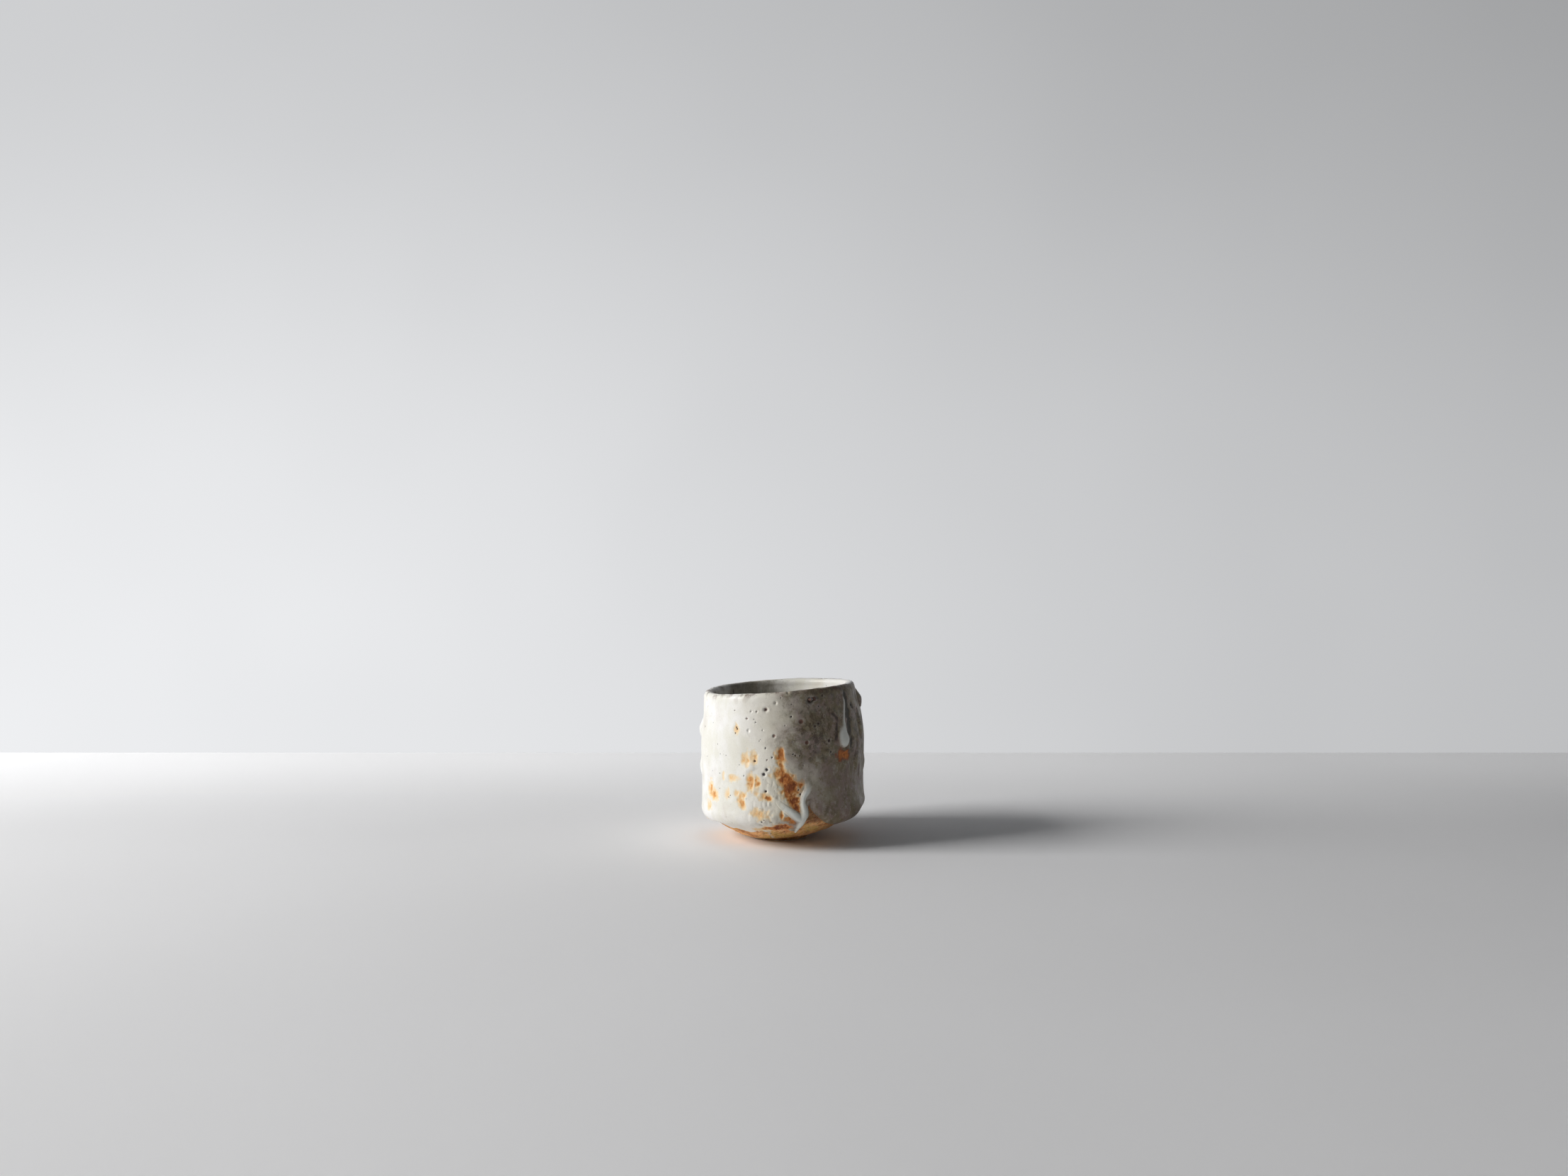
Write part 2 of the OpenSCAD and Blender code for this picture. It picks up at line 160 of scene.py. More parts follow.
# Wall: share of its height, then the radius as a share of the belly's on the -X side
# and on the +X side.
WALL = np.array([
    [0.00, 0.885, 0.930], [0.03, 0.943, 0.990], [0.075, 0.980, 1.030],
    [0.15, 0.988, 1.020], [0.26, 0.987, 1.012], [0.38, 0.987, 1.010],
    [0.50, 0.989, 1.011], [0.60, 0.990, 1.012], [0.70, 0.983, 0.997],
    [0.80, 0.972, 0.972], [0.88, 0.967, 0.943], [0.95, 0.965, 0.915],
    [1.00, 0.960, 0.895]])
# Angle at which the lip's own wave is highest, and the turns of the half circle over it.
LIP_WAVE_AT = radians(125)
LIP_TURNS = np.radians([35, 65, 90, 120, 150])
# Well: share of the depth, then the share left of the radius inside the wall.
WELL = np.array([
    [0.03, 1], [0.14, 1], [0.30, 1], [0.48, 1], [0.64, 0.99],
    [0.77, 0.965], [0.87, 0.90], [0.94, 0.76], [0.985, 0.48]])
# Share of the depth at which the wall is at its full thickness, the lowest share of
# the wall's height whose radius the well follows, and the share of the way from the
# crest to the centre at which the liner's rings stop.
FULL_WALL = 0.45
BELLY = 0.075
WELL_REACH = 0.995

# Stations of the outline: the coat's edge, the end of the wall, the crest, the centre.
EDGE = len(UNDER) - 1
WALL_END = len(UNDER) + len(WALL) - 1
CREST = WALL_END + 3
CENTRE = len(UNDER) + len(WALL) + len(LIP_TURNS) + len(WELL)

# The notch that bares the clay between the forked run and the curtain, how many
# stations it rises, and how many times longer its tail under the curtain is than its
# other side.
NOTCH_AT = radians(-69.5)
NOTCH_STATIONS = 4.615
NOTCH_TAIL = 3.8
# Where the coat's edge stands higher on the far left, and by how many stations.
EDGE_RISE_AT = radians(-166)
EDGE_RISE = 1.3
# Station up to which the clay can show, and the angle that faces the camera.
CLAY_SHOWN = 8.6
FRONT = radians(-88)

# Runs: angle in degrees, share of the cup's height, share of the width and of the rise.
RIM_RUN = np.array([
    [-39.0, 0.970, 0.42, 0.40], [-40.3, 0.938, 0.52, 0.55], [-41.8, 0.900, 0.58, 0.66],
    [-43.8, 0.855, 0.58, 0.74], [-45.1, 0.812, 0.57, 0.80], [-45.2, 0.770, 0.60, 0.86],
    [-45.0, 0.732, 0.68, 0.92], [-44.5, 0.705, 0.78, 0.98], [-43.9, 0.682, 0.85, 1.00]])
FORK_RIGHT = np.array([
    [-72.3, 0.530, 0.50, 0.45], [-71.9, 0.470, 0.72, 0.75], [-71.7, 0.430, 0.87, 0.95],
    [-72.4, 0.388, 0.92, 1.00], [-75.0, 0.348, 0.85, 0.95], [-75.7, 0.310, 0.75, 0.95],
    [-74.8, 0.270, 1.00, 1.05], [-74.5, 0.238, 1.20, 1.10], [-76.2, 0.204, 1.12, 1.05],
    [-78.0, 0.166, 0.88, 0.90], [-78.5, 0.134, 0.62, 0.70]])
FORK_LEFT = np.array([
    [-99.0, 0.382, 0.45, 0.45], [-96.0, 0.354, 0.62, 0.68], [-92.5, 0.318, 0.76, 0.85],
    [-88.5, 0.283, 0.84, 0.95], [-84.5, 0.256, 0.90, 1.00], [-81.0, 0.234, 0.95, 1.00],
    [-77.8, 0.214, 1.00, 1.00]])
CURTAIN = np.array([
    [-64.5, 0.540, 0.50, 0.50], [-65.0, 0.470, 0.75, 0.75], [-66.2, 0.400, 0.90, 0.90],
    [-67.5, 0.345, 1.00, 1.00], [-67.3, 0.300, 1.00, 1.00], [-65.0, 0.268, 1.00, 1.00],
    [-61.3, 0.238, 1.00, 1.00], [-55.6, 0.210, 1.00, 1.00], [-48.6, 0.195, 1.00, 1.00],
    [-40.5, 0.193, 1.00, 1.00], [-32.0, 0.194, 1.00, 0.95], [-24.0, 0.194, 0.95, 0.88],
    [-16.0, 0.196, 0.88, 0.78], [-8.0, 0.200, 0.72, 0.62]])
# Where the curtain's strips run to, as an angle in degrees and a share of the height,
# and how much of the way there they go.
CURTAIN_FOCUS = np.array([-42, 0.62])
CURTAIN_REACH = 0.85
# Beads: angle, share of the height at the top and at the bottom, of the width and rise.
BEADS = np.array([
    [180, 0.750, 0.708, 1.00, 0.95], [180, 0.500, 0.455, 1.00, 0.75],
    [-3, 0.945, 0.900, 0.95, 1.15], [-4, 0.522, 0.490, 0.92, 0.45],
    [-19, 0.880, 0.700, 0.74, 0.70], [-27, 0.620, 0.510, 0.70, 0.62],
    [14, 0.800, 0.640, 0.84, 0.75], [38, 0.900, 0.780, 0.84, 0.80],
    [71, 0.660, 0.520, 0.80, 0.70], [118, 0.830, 0.760, 0.84, 0.70],
    [146, 0.430, 0.360, 0.84, 0.65]])
# Share of its width and of its rise that a bead has at the top.
BEAD_TOP = 0.6
BEAD_START = 0.7
# Stone: angle in degrees and share of the height.
STONE_AT = (-68.3, 0.943)
# How much wider than it looks a run is made, for its profile's low edges, and the share
# of its rise that the forked run and the beads keep.
RIM_SKIRT = 1.05
FORK_SKIRT = 1.25
BEAD_SKIRT = 1.5
FULLNESS = 0.85
# Power of the runs' round profile, power that crowds a run's sections towards its end,
# and the share of its width that is left there.
PROFILE_POWER = 1.45
END_CROWD = 1.6
END_WIDTH = 0.04
# How deep a run's skirt, its crest and its hidden back are sunk into the coat, and the
# curtain's front and back.
SKIRT_SINK = 0.22 * MM
CREST_SINK = 0.03 * MM
BACK_SINK = 0.4 * MM
CURTAIN_SINK = 0.04 * MM
CURTAIN_BACK_SINK = 0.5 * MM

# Fire patches in the coat: angle, height, half width and half height in mm, strength.
FIRE = np.array([
    [-91.2, 36.4, 1.9, 2.2, 0.90], [-90.0, 33.8, 1.9, 2.3, 0.80], [-90.5, 29.8, 3.4, 2.2, 0.80],
    [-86.5, 27.5, 3, 2.8, 1.00], [-84.5, 24.0, 2.9, 3.4, 1.15], [-77.5, 24.8, 1.4, 1.9, 1.00],
    [-82.0, 19.8, 2.4, 2.8, 1.20], [-80.2, 16.8, 1.5, 2.4, 1.20], [-79.0, 14.9, 0.9, 1.4, 1.10],
    [-115.1, 34.3, 1.8, 2.4, 0.56], [-109.6, 35.1, 1.8, 2.2, 0.54], [-111.3, 26.0, 1.5, 2.7, 0.70],
    [-106.9, 25.1, 1.1, 2.5, 0.70], [-124.6, 26.8, 2.7, 1.5, 0.46], [-134.7, 27.2, 0.7, 1.3, 0.45],
    [-148.9, 21.3, 1.8, 2.8, 0.66], [-145.3, 19.4, 2.6, 2.6, 0.70], [-151.1, 14.5, 1.9, 2, 0.45],
    [-118.2, 20.7, 1.6, 1.6, 0.62], [-117.9, 17.8, 1.8, 2.1, 0.68], [-121.6, 21.4, 1.2, 1.3, 0.52],
    [-130.5, 20.5, 1.2, 2.1, 0.45], [-104.7, 13.9, 3.5, 2.1, 0.58], [-102.2, 20.8, 2.2, 1.5, 0.55],
    [-99.4, 20.1, 1.4, 1.3, 0.95], [-106.7, 21.7, 1.2, 1.1, 0.45], [-123.0, 45.0, 1.1, 1.8, 0.50],
    [-89.9, 13.9, 0.7, 1.4, 0.80], [-86.1, 12.5, 1.5, 0.9, 0.80], [-82.6, 11.3, 1.4, 1, 0.80],
    [-91.0, 8.8, 3.6, 1.4, 1.15], [-98.5, 8.3, 3.4, 1, 0.85], [-108.0, 7.4, 2, 0.7, 0.50],
    [-41.4, 34.8, 1.6, 1.8, 0.95], [-46.5, 35.4, 2.4, 2, 0.55],
    [24, 22, 4, 5, 0.75], [30, 17, 2.5, 3, 0.95], [62, 31, 3, 6, 0.60], [66, 25, 2, 4, 0.80],
    [95, 14, 6, 3, 0.75], [102, 12, 3, 1.6, 1.0], [130, 27, 3, 4, 0.52], [137, 23, 2, 2.4, 0.62],
    [160, 12, 4, 2.5, 0.55], [172, 33, 2, 3, 0.42], [5, 9.5, 5, 1.2, 0.8], [50, 9, 7, 1.1, 0.9],
    [120, 8.5, 6, 1.1, 0.9], [-170, 7.6, 5, 1, 0.7]])
# Starved, olive-brown ground: the same columns.
STARVED = np.array([
    [-91.0, 21.5, 3.0, 3.0, 0.38], [-95.5, 25.0, 2.6, 3.0, 0.30],
    [-66.5, 48.3, 3.4, 3.6, 0.85], [-54.3, 51.6, 2.2, 1.4, 0.70], [-59.1, 49.6, 3.0, 3.0, 0.65],
    [-55.2, 40.6, 2.6, 2.2, 0.80], [-59.5, 55.4, 5.0, 2.2, 0.50], [-43.7, 35.2, 3.4, 3.0, 0.75],
    [-58.0, 45.4, 4.2, 3.0, 0.65], [-78.1, 36.1, 2.6, 1.4, 0.45], [-87.4, 53.2, 3.0, 3.0, 0.30],
    [-91.3, 24.6, 3.5, 4.0, 0.40], [-50.0, 31.0, 5.0, 2.4, 0.40], [-45.0, 22.5, 3.0, 2.0, 0.45],
    [-47.0, 18.0, 3.0, 2.0, 0.50], [-30.0, 38.0, 3.0, 6.0, 0.40], [-26.0, 30.0, 1.6, 2.6, 0.60],
    [10, 44.0, 5.0, 8.0, 0.55], [80, 48.0, 7.0, 5.0, 0.55], [115, 20.0, 6.0, 4.0, 0.45],
    [45, 47.0, 4.0, 5.0, 0.45], [150, 52.0, 6.0, 3.0, 0.40]])
# Crawled glaze: the same columns.
CRAWLED = np.array([
    [-97, 14, 9, 8, 1.0], [-101, 24, 6, 5, 0.6], [-78, 27, 7, 8, 0.35],
    [60, 16, 9, 6, 0.8], [140, 14, 8, 6, 0.7]])
# Swellings of the coat: the same columns, with the rise in mm as the strength. The
# first is on the left flank, the next at the corner under it, the last on the front.
FLANK_SWELL = np.array([[180, 37.5, 9, 8, 0.45]])
CORNER_SWELL = np.array([[-178, 8.8, 11, 3.4, 0.70]])
FRONT_SWELL = np.array([[-113, 31.2, 2.6, 1.6, 0.35]])
# Painted shade, laid in the hollows between the drips on the right and round the stone: the same columns.
SHADED_HOLLOWS = np.array([
    [-68.4, 56.3, 1.5, 1.2, 0.90], [-64.6, 57.0, 1.5, 0.8, 0.70],
    [-35.2, 55.5, 1.3, 3.4, 1.10], [-36.2, 50.5, 1.5, 5.0, 1.20], [-37.0, 45.0, 1.3, 4.0, 1.15],
    [-35.5, 40.0, 1.0, 3.0, 0.90], [-28.3, 53.0, 0.9, 1.6, 1.10], [-24.0, 49.0, 0.8, 4.0, 0.50],
    [-27.0, 36.5, 0.8, 3.0, 0.55], [-18.0, 43.0, 0.8, 4.5, 0.60], [-22.0, 28.0, 0.7, 3.0, 0.50],
    [-15.0, 55.0, 1.2, 2.5, 0.70], [2.0, 36.0, 1.0, 5.0, 0.60], [24.0, 46.0, 1.2, 6.0, 0.50],
    [52.0, 40.0, 1.2, 7.0, 0.50]])
# Rusty streak beside the rim run, whose groove is also darkened with painted shade: its
# angle, how far it strays to the left at its foot and at its head, its width and its depth.
STREAK_AT = radians(-48.4)
STREAK_FOOT = radians(2.0)
STREAK_HEAD = radians(4.5)
STREAK_WIDTH = 1.0 * MM
STREAK_SINK = 0.15 * MM
# Upright drips: the angles between which they lie, and in mm their height and how far
# the coat is sunk for them.
DRIPS_FROM = radians(-44)
DRIPS_TO = radians(150)
DRIP_RISE = 0.26
DRIP_SINK = 0.22
# Where painted shade darkens the lip below its crest, and where the crest's white, clear of
# that shade, comes down furthest.
LIP_SHADE_AT = radians(-18)
LIP_WHITE_AT = radians(-4)
# The share of its thickness that the coat has on the crest, and how deep it is worn
# there.
LIP_COAT = 0.75
LIP_WEAR = 0.22 * MM
# Pale smear on the bare clay: its angle and width. Trimming grooves there: their pitch
# and depth.
SMEAR_AT = radians(-101.5)
SMEAR_WIDTH = 1.1 * MM
GROOVE_PITCH = 1.7 * MM
GROOVE_DEPTH = 0.07 * MM
# Well: the angle round which painted shade darkens it, the dark drip's angle and width, the pitch
# and depth of its throwing ridges, and the height of the folds under its lip.
WELL_SHADE_AT = radians(168)
WELL_DRIP_AT = radians(139)
WELL_DRIP_WIDTH = 0.9 * MM
THROWING_PITCH = 6.5 * MM
THROWING_DEPTH = 0.10 * MM
FOLD_RISE = 0.30 * MM
# Depth of fire patches and of gaps, rise of crawled lumps, and height of grit.
FIRE_SINK = 0.30 * MM
GAP_SINK = 0.40 * MM
CRAWL_RISE = 0.26 * MM
GRIT = 0.13 * MM
# Share of its depth to which a pit's rim stands up, and the rim's place and width in
# shares of the pit's half width.
PIT_RIM = 0.14
PIT_RIM_AT = 1.9
PIT_RIM_WIDTH = 0.7
# Pits: angle, height, half width and depth in mm, how black and how rusty.
PITS = np.array([
    [-85.4, 59.2, 0.45, 0.35, 1.0, 0.0],
    [-124.9, 52.1, 0.35, 0.10, 0.00, 0.45], [-111.9, 52.0, 0.42, 0.24, 0.25, 0.00],
    [-107.7, 52.0, 0.42, 0.24, 0.30, 0.30], [-101.3, 52.8, 0.85, 0.38, 0.45, 0.75],
    [-94.5, 55.3, 0.62, 0.30, 0.35, 0.00], [-90.5, 57.2, 0.32, 0.16, 0.30, 0.00],
    [-114.8, 49.3, 0.50, 0.14, 0.00, 0.60], [-108.3, 48.0, 0.32, 0.20, 0.85, 0.00],
    [-113.5, 44.9, 0.60, 0.22, 0.00, 0.00], [-122.9, 45.8, 0.34, 0.16, 0.90, 0.80],
    [-122.4, 45.2, 0.34, 0.16, 0.80, 0.80], [-123.7, 43.6, 0.32, 0.16, 0.60, 0.60],
    [-95.3, 43.2, 0.60, 0.28, 0.10, 1.00], [-103.0, 45.2, 0.35, 0.12, 0.20, 0.00],
    [-100.8, 38.7, 0.40, 0.18, 0.90, 0.00], [-83.4, 50.3, 0.45, 0.25, 0.85, 0.00],
    [-140.7, 38.7, 0.30, 0.12, 0.00, 0.50], [-83.0, 54.8, 0.30, 0.14, 0.60, 0.00],
    [-76.6, 48.4, 0.85, 0.40, 0.15, 1.00], [-73.1, 40.7, 0.68, 0.32, 0.15, 1.00],
    [-56.9, 40.9, 0.62, 0.25, 0.90, 0.60], [-55.3, 36.8, 0.50, 0.20, 1.00, 0.00],
    [-82.4, 36.6, 0.36, 0.18, 0.80, 0.00], [-80.7, 36.1, 0.36, 0.18, 0.60, 0.60],
    [-77.9, 36.0, 0.30, 0.15, 0.60, 0.00], [-83.0, 41.1, 0.28, 0.14, 0.40, 0.00],
    [-63.2, 53.7, 0.36, 0.16, 0.80, 0.00], [-45.5, 56.5, 0.30, 0.14, 0.70, 0.00],
    [-64.3, 47.4, 0.50, 0.20, 0.70, 0.50], [-66.8, 46.5, 0.50, 0.20, 0.70, 0.40],
    [-58.8, 50.0, 0.35, 0.16, 0.70, 0.30], [-108.5, 33.8, 0.50, 0.22, 0.80, 0.50],
    [-96.3, 35.4, 0.42, 0.20, 0.80, 0.70], [-99.7, 34.4, 0.36, 0.18, 0.50, 0.70],
    [-99.9, 30.8, 0.72, 0.22, 1.00, 0.00], [-101.9, 29.0, 0.76, 0.25, 1.00, 0.00],
    [-102.1, 27.1, 0.22, 0.10, 0.70, 0.00], [-100.6, 22.8, 0.62, 0.22, 0.80, 0.40],
    [-116.4, 28.0, 0.32, 0.15, 0.90, 0.00], [-127.6, 20.0, 0.28, 0.14, 0.70, 0.20],
    [-129.0, 19.4, 0.34, 0.12, 0.00, 0.50], [-114.2, 19.5, 0.26, 0.12, 0.40, 0.00],
    [-103.4, 11.7, 0.36, 0.16, 0.90, 0.00], [-101.8, 12.4, 0.28, 0.12, 0.40, 0.50],
    [-138.3, 22.0, 0.26, 0.12, 0.30, 0.20], [-77.5, 21.7, 0.45, 0.20, 0.60, 0.90],
    [-78.8, 23.3, 0.40, 0.20, 0.80, 0.50], [-52.5, 30.6, 0.45, 0.18, 0.80, 0.20],
    [-54.2, 25.6, 0.40, 0.16, 0.80, 0.00], [-81.2, 36.3, 0.30, 0.14, 0.50, 0.30],
    [-75.6, 32.4, 0.30, 0.14, 0.40, 0.00], [-65.3, 24.4, 0.32, 0.14, 0.60, 0.00],
    [-105.3, 41.2, 0.26, 0.12, 0.30, 0.30], [-69.0, 43.9, 0.30, 0.12, 0.30, 0.00],
    [-59.0, 57.5, 0.50, 0.22, 0.60, 0.30], [-87.5, 47.0, 0.30, 0.14, 0.30, 0.00],
    [-45.8, 23.0, 0.40, 0.16, 0.80, 0.00], [-43.9, 20.2, 0.35, 0.15, 0.70, 0.00],
    [-60.4, 21.8, 0.30, 0.14, 0.60, 0.00], [-120.1, 57.3, 0.30, 0.14, 0.20, 0.30],
    [-69.3, 56.0, 1.15, 0.40, 0.45, 0.00], [-66.2, 56.5, 0.80, 0.25, 0.20, 0.90],
    [-41.5, 42.9, 0.36, 0.12, 1.00, 0.00], [-43.6, 10.7, 0.80, 0.20, 0.60, 1.00],
    [-89.0, 60.2, 0.50, 0.35, 0.70, 0.00], [90.0, 60.0, 0.45, 0.30, 0.60, 0.00],
    [52.0, 60.6, 0.45, 0.30, 0.60, 0.00], [-152.0, 58.6, 0.60, 0.35, 0.30, 0.00],
    [-26.5, 30.2, 0.60, 0.25, 0.90, 0.00], [-24.0, 34.6, 0.45, 0.20, 0.90, 0.00],
    [-28.5, 52.8, 0.60, 0.30, 0.80, 0.00],
    [20, 50.0, 0.60, 0.25, 0.40, 0.90], [33, 41.0, 0.45, 0.20, 1.00, 0.00],
    [55, 53.0, 0.55, 0.25, 0.60, 0.30], [77, 39.0, 0.70, 0.30, 0.20, 1.00],
    [88, 27.0, 0.45, 0.20, 1.00, 0.00], [101, 44.0, 0.60, 0.26, 0.30, 0.60],
    [112, 33.0, 0.40, 0.18, 0.90, 0.00], [127, 50.0, 0.50, 0.22, 0.50, 0.30],
    [139, 18.0, 0.45, 0.20, 0.90, 0.00], [151, 41.0, 0.55, 0.24, 0.20, 0.80],
    [168, 24.0, 0.40, 0.18, 0.70, 0.00], [176, 48.0, 0.45, 0.20, 0.40, 0.20],
    [63, 16.0, 0.50, 0.22, 0.50, 0.70], [-12, 47.0, 0.50, 0.22, 0.60, 0.30],
    [-8, 25.0, 0.60, 0.24, 0.80, 0.00], [-163, 44.0, 0.45, 0.20, 0.30, 0.30]])

# Stage, in metres: half the width of table and wall, the table's front edge, the
# wall's place and its top.
STAGE_HALF = 3
TABLE_FRONT = -2.5
WALL_Y = 0.217
WALL_TOP = 2.5
# Lights: name, place, width, power in watts and colour. Both are aimed at the cup.
LIGHTS = (
    ("window", (-1.57, -0.30, 0.78), 0.75, 31.3, (1.0, 0.996, 0.988)),
    ("room", (0.95, -0.75, 0.70), 0.5, 0.15, (0.93, 0.95, 1.0)))
AIM = (0, 0, 0.03)
SKY_LIGHT = 0.035
SKY_COLOUR = (0.93, 0.96, 1.0, 1)
SKY_SEEN = (0.70, 0.71, 0.73, 1)
# Camera: its place, its tilt from looking straight down, its lens and sensor in mm, and
# the nearest that it sees.
EYE = (0.84 * MM, -466 * MM, 102.2 * MM)
EYE_TILT = radians(89.45)
LENS = 27.03
SENSOR = 36
NEAREST = 0.01

# Grids: columns round the cup, then fine and coarse rings of the clay, rings across the
# foot and round each of its edges, and shown and hidden rings of both coats. Rows along
# and points across a run, and points round and up the stone.
CLAY_GRID = (480, 80, 46)
FOOT_GRID = (240, 14, 6)
COAT_GRID = (520, 164, 14)
LINER_GRID = (384, 130, 24)
RIM_GRID = (150, 40)
FORK_RIGHT_GRID = (160, 30)
FORK_LEFT_GRID = (140, 30)
BEAD_GRID = (84, 30)
CURTAIN_ROWS = 240
STONE_GRID = (48, 24)
# How much closer the outer coat's columns stand on the front, the share of its height in
# which its first rings crowd, and how many they are.
FRONT_CROWD = 0.42
EDGE_SHARE = 0.022
EDGE_RINGS = 9
# Cells along a side of the noise's lattice, a full turn, the angle from which an edge is
# sharp, the part of a station over which the outline's direction is measured, and the
# halvings that find a station.
LATTICE = 48
WRAP = 2 * np.pi
SHARP = radians(60)
SLOPE_STEP = 0.04
HALVINGS = 24


def lerp(a, b, k):
    """Straight blend from a to b."""
    return a + (b - a) * k


def ease(x, low, high):
    """Smooth step: 0 below low, 1 above high, and 3t^2 - 2t^3 between."""
    t = np.clip((x - low) / (high - low), 0, 1)
    return t * t * (3 - 2 * t)


def hermite(t, a, b, slope_a, slope_b):
    """Cubic from a to b at the share t, with the given slopes at its ends."""
    return ((1 + 2 * t) * (1 - t) ** 2 * a + t * (1 - t) ** 2 * slope_a
            + t * t * (3 - 2 * t) * b + t * t * (t - 1) * slope_b)


def noise(points, size, seed):
    """Smooth noise from -1 to 1: random values at the corners of a cubic lattice of
    the given cell size, blended inside each cell with the smooth step of each
    coordinate."""
    table = np.random.default_rng(seed).uniform(-1, 1, (LATTICE,) * 3)
    p = points / size
    cell = np.floor(p).astype(int)
    f = p - cell
    f = f * f * (3 - 2 * f)
    total = 0
    for corner in np.ndindex(2, 2, 2):
        weight = np.prod(np.where(corner, f, 1 - f), axis=-1)
        i = (cell + corner) % LATTICE
        total = total + weight * table[i[..., 0], i[..., 1], i[..., 2]]
    return total


def apart(a, b):
    """Signed difference of two angles, from -pi to pi."""
    return (a - b + np.pi) % WRAP - np.pi


def near(th, middle, full, none):
    """How near an angle is to a middle: a smooth step of the difference, from 1 within
    full degrees to 0 beyond none."""
    return 1 - ease(np.abs(apart(th, middle)), radians(full), radians(none))


def swell(form, th, u):
    """Waviness of the wall: sines of the angle times sines and cosines of the height,
    which vanish at both ends of the wall and at 0 and 180 degrees."""
    return form.wave * np.sin(np.pi * u) * (
        np.sin(2 * th) * np.cos(radians(230) * u)
        + np.sin(3 * th) * np.sin(radians(310) * u)
        + np.sin(5 * th) * np.cos(radians(420) * u) / 2)


def wall_radius(form, th, u):
    """Radius of the clay wall: the two side profiles blended by (1 + cos) / 2, times
    the belly's radius, plus the waviness."""
    left = np.interp(u, WALL[:, 0], WALL[:, 1])
    right = np.interp(u, WALL[:, 0], WALL[:, 2])
    return (form.width / 2 - form.coat) * lerp(left, right, (1 + np.cos(th)) / 2) + swell(form, th, u)


def stations(form, th):
    """Outline of the clay at each angle, as [radius, height] rows: the underside's
    straight lines bent by a power, the wall's profile, a half circle over the lip,
    and the well's wall offset inwards and rounded off."""
    waist = form.waist + form.waist_lean * np.cos(th)
    top = (form.height - form.coat + form.lip_lean * np.cos(th)
           + form.lip_wave * np.cos(2 * (th - LIP_WAVE_AT)) - form.lip_wall / 2)
    seat = form.seat_width / 2
    seat_z = form.foot_height + np.tan(form.foot_tilt) * seat * np.cos(th)
    floor = form.foot_height + form.floor + 0 * th
    rows = [[lerp(seat, wall_radius(form, th, 0), w), lerp(seat_z, waist, w ** UNDER_POWER)]
            for w in UNDER]
    rows += [[wall_radius(form, th, u), lerp(waist, top, u)] for u in WALL[:, 0]]
    lip = form.lip_wall / 2
    rows += [[wall_radius(form, th, 1) - lip + lip * np.cos(a), top + lip * np.sin(a)] for a in LIP_TURNS]
    for depth, keep in WELL:
        z = lerp(top, floor, depth)
        u = np.maximum((z - waist) / (top - waist), BELLY)
        wall = lerp(form.lip_wall, form.wall, min(1, depth / FULL_WALL))
        rows.append([(wall_radius(form, th, u) - wall) * keep, z])
    rows.append([0 * th, floor])
    return np.array(rows).transpose(0, 2, 1)


class Outline:
    """A smooth curve through the clay's stations at each of many angles: cubic
    Hermite pieces, whose slope at a station is the mean of the slopes of the chords
    on both sides, weighted towards the shorter chord."""

    def __init__(self, form, th):
        self.form = form
        self.th = th
        self.p = stations(form, th)
        step = np.diff(self.p, axis=0)
        self.h = np.linalg.norm(step, axis=-1, keepdims=True)
        slope = step / self.h
        mid = (self.h[1:] * slope[:-1] + self.h[:-1] * slope[1:]) / (self.h[1:] + self.h[:-1])
        self.m = np.concatenate([slope[:1], mid, slope[-1:]])
        self.columns = np.arange(len(th))
        self.arc = np.concatenate([[0], np.cumsum(self.h[..., 0].mean(axis=1))])

    def at(self, q):
        """[radius, height] at station q, which may lie between whole stations."""
        q = np.clip(q, 0, CENTRE)
        j = np.minimum(q.astype(int), CENTRE - 1)
        t = (q - j)[..., None]
        i = self.columns
        h = self.h[j, i]
        return hermite(t, self.p[j, i], self.p[j + 1, i], h * self.m[j, i], h * self.m[j + 1, i])

    def normal(self, q):
        """Direction square to the curve in the plane of the axis, out of the clay."""
        d = self.at(q + SLOPE_STEP) - self.at(q - SLOPE_STEP)
        d = d / np.maximum(np.linalg.norm(d, axis=-1, keepdims=True), 1e-9)
        return np.stack([d[..., 1], -d[..., 0]], axis=-1)

    def station_of(self, arc):
        """Station at a length along the mean curve."""
        return np.interp(arc, self.arc, np.arange(CENTRE + 1))

    def arc_of(self, q):
        """Length along the mean curve at a station."""
        return np.interp(q, np.arange(CENTRE + 1), self.arc)

    def station_at_height(self, z):
        """Station on the outer side at a height, found by halving."""
        low, high = np.zeros(np.shape(z)), np.full(np.shape(z), float(CREST))
        for _ in range(HALVINGS):
            q = (low + high) / 2
            below = self.at(q)[..., 1] < z
            low, high = np.where(below, q, low), np.where(below, high, q)
        return (low + high) / 2

    def turned(self, p):
        """[radius, height] turned out to each column's angle, as points."""
        return np.stack([p[..., 0] * np.cos(self.th), p[..., 0] * np.sin(self.th), p[..., 1]], axis=-1)


